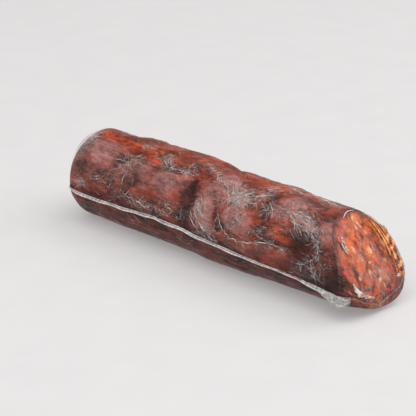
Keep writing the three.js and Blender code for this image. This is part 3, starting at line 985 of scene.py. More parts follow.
def fold_knots():
    """Round folds swept along the source's lines, as thick as their own attribute says."""
    k = Knots("film_folds", Thickness=("Float", 1.0), Sides=("Int", 5))
    curve = k.step("GeometryNodeMeshToCurve", {"Mesh": k.given("Geometry")})
    ring = k.step("GeometryNodeCurvePrimitiveCircle",
                  {"Resolution": k.given("Sides"), "Radius": 1.0})
    size = k.times(k.attribute("thick"), k.given("Thickness"))
    return k.finish(k.sweep(curve, ring, size))


def band_knots():
    """A flat profile swept along the source's line, leaning as its own attribute says."""
    k = Knots("welded_band", Width=("Float", 0.002), Height=("Float", 0.0004),
              Offset=("Float", 0.001), Sides=("Int", 12))
    curve = k.step("GeometryNodeMeshToCurve", {"Mesh": k.given("Geometry")})
    lean = k.attribute("lean", "FLOAT_VECTOR")
    leaning = k.step("GeometryNodeSetCurveNormal", {"Curve": curve, "Normal": lean}, mode="FREE")
    ring = k.step("GeometryNodeCurvePrimitiveCircle",
                  {"Resolution": k.given("Sides"), "Radius": 0.5})
    stretch = k.step("ShaderNodeCombineXYZ",
                     {"X": k.given("Width"), "Y": k.given("Height"), "Z": 1.0})
    shift = k.step("ShaderNodeCombineXYZ", {"X": k.given("Offset")})
    profile = k.step("GeometryNodeTransform",
                     {"Geometry": ring, "Translation": shift, "Scale": stretch})
    return k.finish(k.sweep(leaning, profile, k.attribute("swell")))


def bubble_knots():
    """Small flattened balls on the source's points, turned and sized by their attributes."""
    k = Knots("edge_bubbles", Size=("Float", 0.0004))
    ball = k.step("GeometryNodeMeshIcoSphere", {"Radius": k.given("Size"), "Subdivisions": 2})
    turned = k.step("FunctionNodeEulerToRotation", {"Euler": k.attribute("turn", "FLOAT_VECTOR")})
    return k.finish(k.step("GeometryNodeInstanceOnPoints", {
        "Points": k.given("Geometry"), "Instance": ball, "Rotation": turned,
        "Scale": k.attribute("stretch", "FLOAT_VECTOR")}))


class Lines:
    """Lines of points that are gathered into one mesh, each point with a thickness and a glint."""

    def __init__(self):
        self.points, self.edges, self.thick, self.glint = [], [], [], []

    def add(self, points, thick, glint):
        first = len(self.points)
        self.points.extend(map(tuple, points))
        self.edges.extend((i, i + 1) for i in range(first, len(self.points) - 1))
        self.thick.extend(thick)
        self.glint.extend(np.broadcast_to(glint, len(points)))

    def mesh(self, name):
        mesh = new_mesh(name, self.points, [], self.edges)
        write_attribute(mesh, "thick", self.thick)
        write_attribute(mesh, "glint", self.glint)
        return mesh


def swept_folds(name, lines, finish, sides=5, thickness=1.0):
    """The piece that fold_knots makes of gathered lines."""
    return grown(name, lines.mesh(name), fold_knots(), Thickness=thickness, Sides=sides,
                 Material=finish)


def tapered(count, thick, power=0.8):
    """Thickness along a fold that runs out to nothing at both ends."""
    t = np.linspace(0, 1, count)
    return thick * np.maximum(np.sin(np.pi * t) ** power, 0.12)


def ruffled_sheet(name, rows, thickness, finish, **attributes):
    """A thin crumpled sheet over rows of points, given its thickness by Solidify."""
    grid = np.stack(rows, axis=1)
    count, across = grid.shape[:2]
    corner = np.arange(count * across).reshape(count, across)
    faces = np.stack([corner[:-1, :-1], corner[:-1, 1:], corner[1:, 1:], corner[1:, :-1]], axis=-1)
    mesh = new_mesh(name, grid.reshape(-1, 3).tolist(), faces.reshape(-1, 4).tolist())
    for key, values in attributes.items():
        write_attribute(mesh, key, np.stack(values, axis=1))
    piece = new_piece(name, mesh, finish)
    wall = piece.modifiers.new("wall", "SOLIDIFY")
    wall.thickness = thickness
    wall.offset = 0
    return piece


def level_out(route):
    """The level way out at each point of a route round the sausage."""
    way = np.roll(route, -1, axis=0) - np.roll(route, 1, axis=0)
    out = np.stack([way[:, 1], -way[:, 0], np.zeros(len(way))], axis=-1)
    return out / np.linalg.norm(out, axis=1, keepdims=True)


def film_spots(form, along, around, lift):
    """Points just over the film's side, in metres."""
    rise = film_rise(form, along, around) + lift
    across, up = form.section(along, around, form.blunt_share(along), rise)
    return form.place(along, across, up, LOWEST_FOLD)


def film_rise(form, along, around):
    """How far the film stands out: it follows the meat and spans the narrowest creases."""
    spanned = CREASE_SPANNED * form.creasing(along, around)
    fine = LUMPS_KEPT * form.sum_of(form.fine_lumps, along, around)
    return form.relief(along, around) + (spanned + fine) * form.calm(around)


def face_spots(form, across, up, lift):
    """Points just over the cut face, in metres, for places across and up from its middle."""
    around = np.degrees(np.arctan2(up, -across / WIDER)) % 360
    edge = form.edge_of_cut(around)
    rim = form.section(edge, around, 1.0, form.relief(edge, around))
    share = np.hypot(across, up) / np.hypot(*rim)
    rounding = form.edge_round(around)
    bend = np.clip((share - 1 + rounding) / rounding, 0, 1)
    along = form.face_along(across, up, share, bend, around)
    out = Vector((1, -CUT_SKEW, CUT_LEAN)).normalized()
    return form.place(along + out.x * lift, across + out.y * lift, up + out.z * lift, LOWEST_ON_CUT)


def bent_line(points, step):
    """A smooth line through a few points, with a point for about every step."""
    knots = [np.array(p, dtype=float) for p in points]
    knots = [2 * knots[0] - knots[1]] + knots + [2 * knots[-1] - knots[-2]]
    line = []
    for before, start, end, after in zip(knots, knots[1:], knots[2:], knots[3:]):
        count = max(int(np.linalg.norm(end - start) / step), 2)
        for t in np.arange(count) / count:
            line.append(0.5 * (2 * start + (end - before) * t
                               + (2 * before - 5 * start + 4 * end - after) * t ** 2
                               + (3 * start - before - 3 * end + after) * t ** 3))
    line.append(knots[-2])
    return np.array(line)


class Wrinkles:
    """Draws the film's wrinkles on the unrolled side, in millimetres along and round it."""

    def __init__(self, form, seed):
        self.form = form
        self.draw = random.Random(seed)
        self.folds = []
        self.zones = []

    def fold(self, path, thick, glint, lift):
        """One fold along an unrolled path, with its thickness in millimetres at each point."""
        self.folds.append((path, thick, glint, np.full(len(path), lift)))

    def stroke(self, x, y, angle, length, thick, glint):
        """One short bent fold from an unrolled place, at an angle in degrees."""
        draw = self.draw
        count = max(int(length / STROKE_STEP), 4)
        step = length / count
        curl = draw.uniform(-1, 1) * STROKE_CURL / count
        path = [(x, y)]
        heading = math.radians(angle)
        for _ in range(count):
            heading += math.radians(curl + draw.uniform(-STROKE_WOBBLE, STROKE_WOBBLE))
            x, y = x + step * math.cos(heading), y + step * math.sin(heading)
            path.append((x, y))
        self.fold(np.array(path), tapered(count + 1, thick), glint, 0.3 + 0.3 * thick)

    def hair(self, x, y, angle, length):
        """A stroke of drawn thickness and glint, mostly thin and faint."""
        strong = self.draw.random() ** 2
        thick = HAIR_THICK[0] + HAIR_THICK[1] * strong
        self.stroke(x, y, angle, length, thick, HAIR_GLINT[0] + HAIR_GLINT[1] * strong)

    def star(self, along, around, count, shortest, longest, facing, fan):
        """Folds that run out from one place."""
        y = float(self.form.arc(around))
        count = round(count * HAIRS)
        for i in range(count):
            angle = facing + fan * ((i + self.draw.uniform(0, 1)) / count - 0.5)
            off = self.draw.uniform(0.2, 0.8 * longest)
            start = math.radians(angle)
            angle += self.draw.uniform(-STAR_STRAY, STAR_STRAY)
            away = self.draw.gauss(0, 0.16) * longest
            self.hair(along + off * math.cos(start) + away, y + off * math.sin(start) - away,
                      angle, self.draw.uniform(0.5 * shortest, 0.9 * longest))
        self.zones.append((along, around, longest * 0.8, longest * 0.8, 0.9))

    def run(self, branches, thick, line):
        """A long fold with short ones that branch off it."""
        path = bent_line([(x, float(self.form.arc(a))) for x, a in line], 0.8)
        seed = len(self.folds)
        sway = np.stack([mottle(path, 1.6, seed), mottle(path, 1.6, seed + 1)], axis=-1)
        path = path + 0.45 * sway
        uneven = np.clip(0.7 + 0.5 * mottle(path, 2.4, seed + 2), 0.25, 1.3)
        glint = np.clip(0.65 + 0.6 * mottle(path, 3.5, seed + 3), 0.15, 1.0)
        self.fold(path, tapered(len(path), 0.26 * thick, 0.4) * uneven, glint, 0.4)
        for _ in range(round(branches * HAIRS)):
            i = self.draw.randrange(1, len(path) - 1)
            way = path[i + 1] - path[i - 1]
            heading = math.degrees(math.atan2(way[1], way[0]))
            side = self.draw.choice((-1, 1)) * self.draw.uniform(10, 80)
            off = self.draw.uniform(-1.2, 1.2)
            self.hair(path[i][0], path[i][1] + off, heading + side, self.draw.uniform(1.2, 4.6))
        for x, a in line:
            self.zones.append((x, a, 4, 4, 0.7))

    def stack(self, along, around, reach, spread, count, length, slope):
        """Folds that lie side by side."""
        y = float(self.form.arc(around))
        for _ in range(round(count * HAIRS)):
            x = along + self.draw.gauss(0, 0.55) * reach
            v = y + self.draw.gauss(0, 0.55) * spread
            self.hair(x, v, slope + self.draw.gauss(0, 18), length * self.draw.uniform(0.3, 0.9))
        self.zones.append((along, around, reach * 1.2, spread * 1.2, 0.8))

    def scatter(self, count, low, high):
        """Faint folds all over a stretch of the side."""
        for _ in range(count):
            y = float(self.form.arc(self.draw.uniform(low, high)))
            self.stroke(self.draw.uniform(6, 194), y, self.draw.uniform(-40, 40),
                        self.draw.uniform(2, 7), self.draw.uniform(0.07, 0.13),
                        self.draw.uniform(0.2, 0.5))

    def lines(self):
        """All folds laid on the film, without those that would cross the cut's edge."""
        path = np.concatenate([fold[0] for fold in self.folds])
        lift = np.concatenate([fold[3] for fold in self.folds])
        along = np.maximum(path[:, 0], 0.8)
        around = np.degrees(path[:, 1] / self.form.radius)
        points = film_spots(self.form, along, around, lift)
        rounded = self.form.radius * (self.form.edge_round(around) - EDGE_ROUND)
        fits = along < self.form.edge_of_cut(around) - BARE_AT_CUT - rounded
        lines = Lines()
        first = 0
        for fold, thick, glint, _ in self.folds:
            last = first + len(fold)
            if fits[first:last].all():
                lines.add(points[first:last], thick * MM, glint)
            first = last
        return lines


def all_wrinkles(form):
    """Every wrinkle of the side, and where it makes the film crinkle."""
    wrinkles = Wrinkles(form, WRINKLE_SEED)
    for star in STARS:
        wrinkles.star(*star)
    for run in RUNS:
        wrinkles.run(*run)
    for stack in STACKS:
        wrinkles.stack(*stack)
    wrinkles.scatter(FAINT_WRINKLES, -60, 110)
    draw = wrinkles.draw
    for _ in range(BACK_CLUSTERS):
        place = (draw.uniform(8, 192), draw.uniform(115, 305))
        if draw.random() < 0.5:
            wrinkles.star(*place, draw.randint(8, 18), 3, draw.uniform(6, 11),
                          draw.uniform(0, 360), draw.uniform(90, 330))
        else:
            wrinkles.stack(*place, draw.uniform(4, 10), draw.uniform(3, 7), draw.randint(8, 16),
                           draw.uniform(5, 10), draw.uniform(-60, 60))
    wrinkles.scatter(FAINT_WRINKLES // 2, 110, 300)
    return wrinkles


def length_property(name, description, default, **limits):
    return bpy.props.FloatProperty(name=name, description=description, default=default,
                                   subtype="DISTANCE", unit="LENGTH", **limits)


def angle_property(name, description, degrees):
    return bpy.props.FloatProperty(name=name, description=description,
                                   default=math.radians(degrees), subtype="ANGLE")


def colour_property(name, description, default):
    return bpy.props.FloatVectorProperty(name=name, description=description, default=default,
                                         size=3, min=0, max=1, subtype="COLOR")


class SausageSizes(bpy.types.PropertyGroup):
    """The sausage's sizes."""

    length: length_property("Length", "Length along the underside", 0.208, min=0.05)
    diameter: length_property("Diameter", "Diameter of the plain round", 0.050, min=0.01)
    sides: bpy.props.IntProperty(
        name="Sides", description="Points round each ring of the meat", default=228, min=24)
    rings: bpy.props.IntProperty(
        name="Rings", description="Rings along the side of the meat", default=316, min=24)


class FilmSizes(bpy.types.PropertyGroup):
    """The film's sizes."""

    gap: length_property("Gap", "How far the film stands off the meat", 0.00025)
    fold: bpy.props.FloatProperty(
        name="Fold", description="Thickness of the wrinkles, as a share", default=1.0,
        subtype="FACTOR")
    edge_width: length_property("Edge width", "Width of the welded edge", 0.0013)
    edge_thickness: length_property("Edge thickness", "Thickness of the welded edge", 0.00035)
    bead: length_property("Bead", "Thickness of the edge's melted bead", 0.00075)
    bubble: length_property("Bubble", "Half the width of a trapped bubble", 0.0004)
    tail: length_property("Tail", "Thickness of the gathered tail's sheets", 0.00012)
    amber: length_property("Amber film", "Thickness of the stained film on the cut", 0.0001)
    torn: length_property("Torn film", "Thickness of the flap and of the cut's rim", 0.00015)


class SausageColours(bpy.types.PropertyGroup):
    """The colours of the meat and the film."""

    lean: colour_property("Lean", "Casing over lean meat", (0.34, 0.061, 0.035))
    dark_lean: colour_property("Dark lean", "Casing at its darker patches", (0.078, 0.0155, 0.0105))
    oozed_fat: colour_property("Oozed fat", "Orange fat under the film", (0.62, 0.088, 0.013))
    # milky film, and the painted sheen on the crests
    veil_and_sheen: colour_property("Veil", "Milky patches of the film", (0.45, 0.21, 0.19))
    # painted shade in the hollows, and the dark cracks
    shade_and_cracks: colour_property("Hollow", "The darkest hollows", (0.040, 0.0105, 0.0085))
    cut_lean: colour_property("Cut lean", "Lean meat on the cut", (0.48, 0.105, 0.060))
    # dark meat on the cut, and its painted shade
    cut_dark_and_shade: colour_property("Cut dark", "The darkest meat on the cut", (0.10, 0.017, 0.012))
    cut_red: colour_property("Cut red", "Bright red meat on the cut", (0.68, 0.066, 0.012))
    cut_orange: colour_property("Cut orange", "Orange fat on the cut", (0.84, 0.19, 0.030))
    cut_lilac: colour_property("Cut lilac", "Hazy meat on the cut", (0.60, 0.23, 0.15))
    fat: colour_property("Fat", "Solid fat on the cut", (0.95, 0.62, 0.34))
    film: colour_property("Film", "The film's folds", (0.93, 0.87, 0.83))
    bead: colour_property("Bead", "The welded edge's bead", (0.94, 0.92, 0.90))
    brine: colour_property("Brine", "Bubbles trapped in the edge", (0.11, 0.05, 0.045))
    strand: colour_property("Strand", "Strands of the gathered tail", (1.0, 0.98, 0.93))
    flap: colour_property("Flap", "The torn flap on the cut", (0.95, 0.91, 0.84))
    flange: colour_property("Flange", "The film's rim behind the cut", (0.95, 0.66, 0.42))
    wet_film: colour_property("Wet film", "Film stained by the fat", (0.88, 0.19, 0.018))
    # the stain, painted darker in the folds' troughs and lighter on their crests
    amber_dark: colour_property("Amber dark", "Stained film at its darkest", (0.20, 0.028, 0.007))
    amber_gold: colour_property("Amber gold", "Stained film at its lightest", (1.0, 0.44, 0.07))
    amber_sparkle: colour_property("Amber speck", "Glints of the stained film", (1.0, 0.9, 0.75))


class StageSettings(bpy.types.PropertyGroup):
    """The floor, the light and the camera."""

    floor_size: length_property("Floor", "Width of the floor", 8.0)
    floor_colour: colour_property("Floor colour", "The pale floor", (0.53, 0.52, 0.517))
    floor_glow: bpy.props.FloatProperty(
        name="Floor glow", description="Light of the floor itself", default=0.26)
    key_power: bpy.props.FloatProperty(
        name="Key light", description="Power of the large soft light", default=24.0, unit="POWER")
    key_size: length_property("Key size", "Width of the large soft light", 2.0)
    key_distance: length_property("Key distance", "From the large light to the sausage", 2.2)
    key_height: angle_property("Key height", "Angle of the large light above the floor", 50)
    key_side: angle_property("Key side", "From the cut round towards the back", 43)
    fill_power: bpy.props.FloatProperty(
        name="Fill light", description="Power of the front light", default=62.0, unit="POWER")
    fill_size: length_property("Fill size", "Width of the front light", 3.0)
    fill_distance: length_property("Fill distance", "From the front light to the sausage", 3.0)
    fill_height: angle_property("Fill height", "Angle of the front light above the floor", 60)
    fill_side: angle_property("Fill side", "From the cut round to the front", 65)
    sky: bpy.props.FloatProperty(
        name="Sky", description="Strength of the even light from all round", default=0.31)
    lens: bpy.props.FloatProperty(
        name="Lens", description="Focal length", default=150.4, unit="CAMERA")
    camera_distance: length_property("Camera distance", "From the camera to its aim", 0.9507)
    camera_side: angle_property("Camera side", "From the front round towards the cut", 43.17)
    camera_height: angle_property("Camera height", "Angle of the camera above the floor", 22)


class SAUSAGE_OT_meat(bpy.types.Operator):
    """Build the meat: the lumpy casing and the cut face in one closed skin"""

    bl_idname = "sausage.meat"
    bl_label = "Meat"

    def execute(self, context):
        sizes = context.scene.sausage_sizes
        colours = context.scene.sausage_colours
        form = Form(sizes)
        skin = Skin(form, sizes.sides, blunt_rings=26, side_rings=sizes.rings, edge_rings=8,
                    face_rings=52)
        around = np.radians(skin.around)
        ring = form.radius * np.cos(around), form.radius * np.sin(around)
        cloud = np.stack([skin.along, *ring], axis=-1)
        grain = mottle(cloud, 1.1, 21) * 0.05 + mottle(cloud, 2.4, 22) * 0.06
        coarse = form.relief(skin.along, skin.around)
        fine = form.sum_of(form.fine_lumps, skin.along, skin.around)
        rise = coarse + (fine + grain) * form.calm(skin.around)
        skin.points(rise, 0.0, LOWEST_MEAT)
        place = np.stack([skin.across, skin.up], axis=-1)
        crumb = mottle(place, 2.6, 31) * 0.28 + mottle(place, 1.2, 32) * 0.12
        points = skin.points(rise, crumb * smooth_step(skin.share, 1.0, 0.8), LOWEST_MEAT)
        mesh = mesh_of_rings("cured_meat", points, skin.ends(points))
        self.mark_casing(mesh, form, skin, cloud, coarse + fine)
        piece = new_piece("cured_meat", mesh, casing_finish(colours), cut_meat_finish(colours))
        self.split(mesh, skin, form)
        settle(piece, "sausage")
        return {"FINISHED"}

    def mark_casing(self, mesh, form, skin, cloud, height):
        """Write where veils and painted sheen, oozed fat and painted shade lie, and the spots of the
        cut.
        """
        along = skin.along + 1.6 * mottle(cloud, 5, 41) + 0.7 * mottle(cloud, 2, 42)
        shift = 1.6 * mottle(cloud, 5, 43) + 0.7 * mottle(cloud, 2, 44)
        around = skin.around + np.degrees(shift / form.radius)
        veil_and_sheen, oil, shade = (
            soft_union(patches + back_patches(kind, BACK_SEED + i), form, along, around)
            for i, (kind, patches) in enumerate((("veil_and_sheen", VEILS_AND_SHEEN), ("oil", OILS), ("shade", SHADES)))
        )
        # painted shade in the hollows and painted sheen on the crests, by the height of the relief
        low = smooth_step(-height, 0.2, 2.0)
        high = smooth_step(height, 0.4, 1.8)
        # painted shade on the underside, with less veil there
        under = smooth_step(np.abs(turn_between(skin.around, 270)), 114, 60)
        veil_and_sheen = np.clip(veil_and_sheen + 0.3 * high, 0, 1) * (1 - 0.6 * under)
        shade = np.clip(shade + 0.9 * low + 0.8 * under, 0, 1)
        oil = np.clip(oil, 0, 1) * (1 - 0.5 * veil_and_sheen)
        place = np.stack([skin.across, skin.up], axis=-1)
        across = skin.across + 0.5 * mottle(place, 2.2, 51)
        up = skin.up + 0.5 * mottle(place, 2.2, 52)
        # painted shade on the cut, darker towards its rounded rim
        rim = smooth_step(skin.share, 0.9, 0.99)
        marks = {
            "veil_and_sheen": (0, veil_and_sheen),
            "oil": (soft_spots(OIL_SPOTS, across, up), oil),
            "shade": (np.clip(soft_spots(SHADE_AND_DARK_SPOTS, across, up) + rim, 0, 1), shade),
            "lilac": (soft_spots(LILAC_SPOTS, across, up), 0),
            "fat": (soft_spots(FAT_SPOTS, across, up), 0),
        }
        for name, (on_cut, on_side) in marks.items():
            write_attribute(mesh, name, with_ends(np.where(skin.on_face, on_cut, on_side)))

    def split(self, mesh, skin, form):
        """Give the cut face its own material."""
        first_on_cut = int(np.argmax(skin.on_face[:, 0])) * skin.sides + 1
        corners = np.empty(len(mesh.loops), dtype=np.int32)
        mesh.loops.foreach_get("vertex_index", corners)
        starts = np.empty(len(mesh.polygons), dtype=np.int32)
        mesh.polygons.foreach_get("loop_start", starts)
        first = corners[starts]
        wrapped = (skin.bend > 0.1) & (form.edge_round(skin.around) > EDGE_ROUND + 0.06)
        cased = with_ends(wrapped.astype(float)) > 0.5
        on_cut = (first >= first_on_cut) & ~cased[first]
        mesh.polygons.foreach_set("material_index", on_cut.astype(np.int32))


class SAUSAGE_OT_film(bpy.types.Operator):
    """Build the skin-tight film over the meat"""

    bl_idname = "sausage.film"
    bl_label = "Film"

    def execute(self, context):
        form = Form(context.scene.sausage_sizes)
        skin = Skin(form, sides=190, blunt_rings=22, side_rings=270, edge_rings=8, face_rings=34)
        rise = film_rise(form, skin.along, skin.around)
        points = skin.points(rise, FACE_FILM_GAP, LOWEST_FILM)
        out = context.scene.film_sizes.gap * np.where(skin.on_face, 1.6, 1.0)
        at, angle, reach, spread, height = LOOSE_FILM
        u, v = (skin.along - at) / reach, turn_between(skin.around, angle) / spread
        loose = np.exp(-u * u - v * v) * smooth_step(skin.share, 0.4, 0.95)
        lifted = points + outward(points) * (out + height * MM * loose)[..., None]
        lifted[..., 2] = np.maximum(lifted[..., 2], LOWEST_FILM * MM)
        mesh = mesh_of_rings("clear_film", lifted, skin.ends(lifted))
        crinkle = soft_union(all_wrinkles(form).zones, form, skin.along, skin.around)
        # fewer white crinkles where the shade is painted
        crinkle *= 1 - 0.8 * soft_union(SHADES, form, skin.along, skin.around)
        write_attribute(mesh, "crinkle", with_ends(np.where(skin.on_face, 0.35, crinkle)))
        write_attribute(mesh, "milk", with_ends(np.where(skin.on_face, 0, loose)))
        finish = clear_film_finish(context.scene.sausage_colours)
        settle(new_piece("clear_film", mesh, finish), "sausage")
        return {"FINISHED"}


class SAUSAGE_OT_wrinkles(bpy.types.Operator):
    """Draw the film's wrinkles over the side"""

    bl_idname = "sausage.wrinkles"
    bl_label = "Wrinkles"

    def execute(self, context):
        lines = all_wrinkles(Form(context.scene.sausage_sizes)).lines()
        # the white folds stand partly for painted glints of the film
        finish = wrinkle_finish("film_wrinkle", context.scene.sausage_colours.film)
        piece = swept_folds("film_wrinkles", lines, finish, 4, context.scene.film_sizes.fold)
        settle(piece)
        return {"FINISHED"}


class SAUSAGE_OT_welded_edge(bpy.types.Operator):
    """Sweep the film's welded edge round the sausage, with its bead and trapped bubbles"""

    bl_idname = "sausage.welded_edge"
    bl_label = "Welded edge"

    def execute(self, context):
        film = context.scene.film_sizes
        colours = context.scene.sausage_colours
        self.route(Form(context.scene.sausage_sizes))
        knots = band_knots()
        band = wrinkle_finish("welded_band", darker(colours.film, 0.8), 0.62)
        bead = wrinkle_finish("welded_bead", colours.bead, 1.0, 0.3)
        layers = [
            ("welded_edge", film.edge_width, film.edge_thickness, film.edge_width / 2, band),
            ("welded_bead", film.bead, film.bead * 0.8, film.edge_width, bead),
            ("welded_line", film.bead * 0.7, film.bead * 0.7, 0.0001, bead),
        ]
        for name, width, height, offset, finish in layers:
            piece = grown(name, self.line_mesh(name), knots, Width=width, Height=height,
                          Offset=offset, Sides=12, Material=finish)
            settle(piece, "film_seam")
        self.bubbles(film, colours)
        return {"FINISHED"}

    def route(self, form):
        """The line and the way that the edge leans from it."""
        line = form.seam_route()
        out = level_out(line)
        corner = 2 * np.abs(out[:, 0] * out[:, 1])
        line = line + out * (0.3 + 0.3 * corner - 0.5 * smooth_step(line[:, 0], 8, 2))[:, None]
        at_end = smooth_step(np.abs(out[:, 0]), 0.3, 0.9)
        droop = np.radians(EDGE_DROOP + EDGE_DROOP_AT_ENDS * at_end)[:, None]
        lip = smooth_step(line[:, 0], 196, 204)
        blunt = smooth_step(line[:, 0], 14, 4)
        front = (line[:, 1] < 0) * np.exp(-((line[:, 0] - 160) / 24) ** 2)
        self.line = form.place(line[:, 0], line[:, 1], line[:, 2] + 0.2 * mottle(line, 9, 61))
        self.lean = out * np.cos(droop) + DOWN * np.sin(droop)
        self.swell = (1 + 0.1 * mottle(line, 5, 62)) * (1 - 0.35 * at_end) * (1 - 0.5 * lip)
        self.swell *= (1 - 0.65 * blunt) * (1 - 0.35 * front)
        self.glint = np.clip(0.95 + 0.2 * mottle(line, 6, 63), 0.5, 1) * (1 - 0.8 * lip)

    def line_mesh(self, name):
        count = len(self.line)
        edges = [(i, (i + 1) % count) for i in range(count)]
        mesh = new_mesh(name, self.line.tolist(), [], edges)
        write_attribute(mesh, "lean", self.lean, "FLOAT_VECTOR")
        write_attribute(mesh, "swell", self.swell)
        write_attribute(mesh, "glint", self.glint)
        return mesh

    def bubbles(self, film, colours):
        """Dark bubbles of brine trapped along the edge, in drawn-out groups."""
        draw = random.Random(64)
        density = mottle(self.line / MM, 14, 65)
        spots, turns, stretches = [], [], []
        for i, point in enumerate(self.line):
            if density[i] < 0.15 or draw.random() < BARE_SPOTS:
                continue
            way = self.line[(i + 1) % len(self.line)] - point
            height = draw.uniform(0.15, 0.6) * film.edge_width
            over = self.lean[i] * height - DOWN * film.edge_thickness * 0.6
            spots.append(tuple(point + over))
            turns.append((math.radians(BUBBLE_TILT), 0, math.atan2(way[1], way[0])))
            stretches.append((draw.uniform(0.8, 2.0), draw.uniform(0.5, 0.9), BUBBLE_FLATNESS))
        mesh = new_mesh("edge_bubbles", spots, [])
        write_attribute(mesh, "turn", turns, "FLOAT_VECTOR")
        write_attribute(mesh, "stretch", stretches, "FLOAT_VECTOR")
        finish = plain_finish("trapped_brine", colours.brine, 0.25, 900, 0.0001)
        piece = grown("edge_bubbles", mesh, bubble_knots(), Size=film.bubble, Material=finish)
        settle(piece)


class SAUSAGE_OT_gathered_tail(bpy.types.Operator):
    """Crumple the film's gathered tail under the cut, at the front"""

    bl_idname = "sausage.gathered_tail"
    bl_label = "Gathered tail"

    def execute(self, context):
        form = Form(context.scene.sausage_sizes)
        film = context.scene.film_sizes
        colours = context.scene.sausage_colours
        finish = torn_finish("crumpled_film", colours.film, 0.14, (0.35, 1, 1), 420)
        route = form.seam_route(step=TAIL_STEP, fan_steps=90)
        out = level_out(route)
        chosen = (route[:, 1] < -8) & (route[:, 0] > TAIL_FROM)
        route, out = route[chosen], out[chosen]
        for layer, (width, tilt, seed) in enumerate(TAIL_SHEETS):
            rows = self.layer(form, route, out, width, math.radians(tilt), seed)
            piece = ruffled_sheet(f"gathered_tail_{layer + 1}", rows, film.tail, finish)
            settle(piece, "film_seam")
        self.strands(form, route, out, colours.strand)
        return {"FINISHED"}

    def layer(self, form, route, out, width, tilt, seed):
        """Rows of points from the body out to the sheet's frayed hem."""
        at = route[:, 0]
        wide = width * smooth_step(at, 182, 199) * (1 - smooth_step(at, 201.5, 206.5))
        flat = np.stack([at, np.zeros(len(at))], axis=-1)
        frayed = 1 + 0.2 * mottle(flat, 4, seed) + 0.3 * mottle(flat, 0.9, seed + 3)
        wide = np.maximum(wide * frayed, 0.3)
        lean = out * math.cos(tilt) + DOWN * math.sin(tilt)
        cross = out * math.sin(tilt) - DOWN * math.cos(tilt)
        rows = []
        for t in np.linspace(0, 1, 12):
            spot = np.stack([at, np.full(len(at), t * width)], axis=-1)
            ripple = mottle(spot, 1.8, seed + 1) * (0.15 + 0.45 * t)
            ripple = ripple + 0.2 * mottle(spot, 0.9, seed + 2) * t
            point = route + out * 0.4 + lean * (wide * t)[:, None] + cross * ripple[:, None]
            rows.append(form.place(*point.T, LOWEST_FOLD))
        return rows

    def strands(self, form, route, out, colour):
        """Thin folds that run along the tail, gathered like a frayed rope."""
        draw = random.Random(75)
        lines = Lines()
        at = route[:, 0]
        reach = int(np.argmax(at > TAIL_TO))
        full = smooth_step(at, 184, 199) * (1 - 0.6 * smooth_step(at, 202, 207))
        flat = np.stack([at, np.arange(len(at)) * TAIL_STEP], axis=-1)
        for strand in range(TAIL_STRANDS):
            first = draw.randrange(0, reach - 12)
            last = min(first + draw.randrange(10, 34), reach)
            part = slice(first, last)
            drop = draw.uniform(0.0, 1.0) * TAIL_DROP
            off = draw.uniform(0.2, 1.6)
            sway = 0.8 * mottle(flat[part], 2.4, 300 + strand)
            lie = 0.5 * mottle(flat[part], 1.6, 500 + strand)
            point = route[part] + out[part] * (0.5 + off * full[part] + lie)[:, None]
            height = point[:, 2] - (drop * full[part] + sway)
            points = form.place(point[:, 0], point[:, 1], height, LOWEST_FOLD)
            thick = tapered(last - first, draw.uniform(0.06, 0.26) * MM)
            lines.add(points, thick, draw.uniform(0.3, 1.0))
        finish = wrinkle_finish("tail_strand", colour, 1.0, 0.4, 0.3)
        settle(swept_folds("tail_strands", lines, finish), "film_seam")


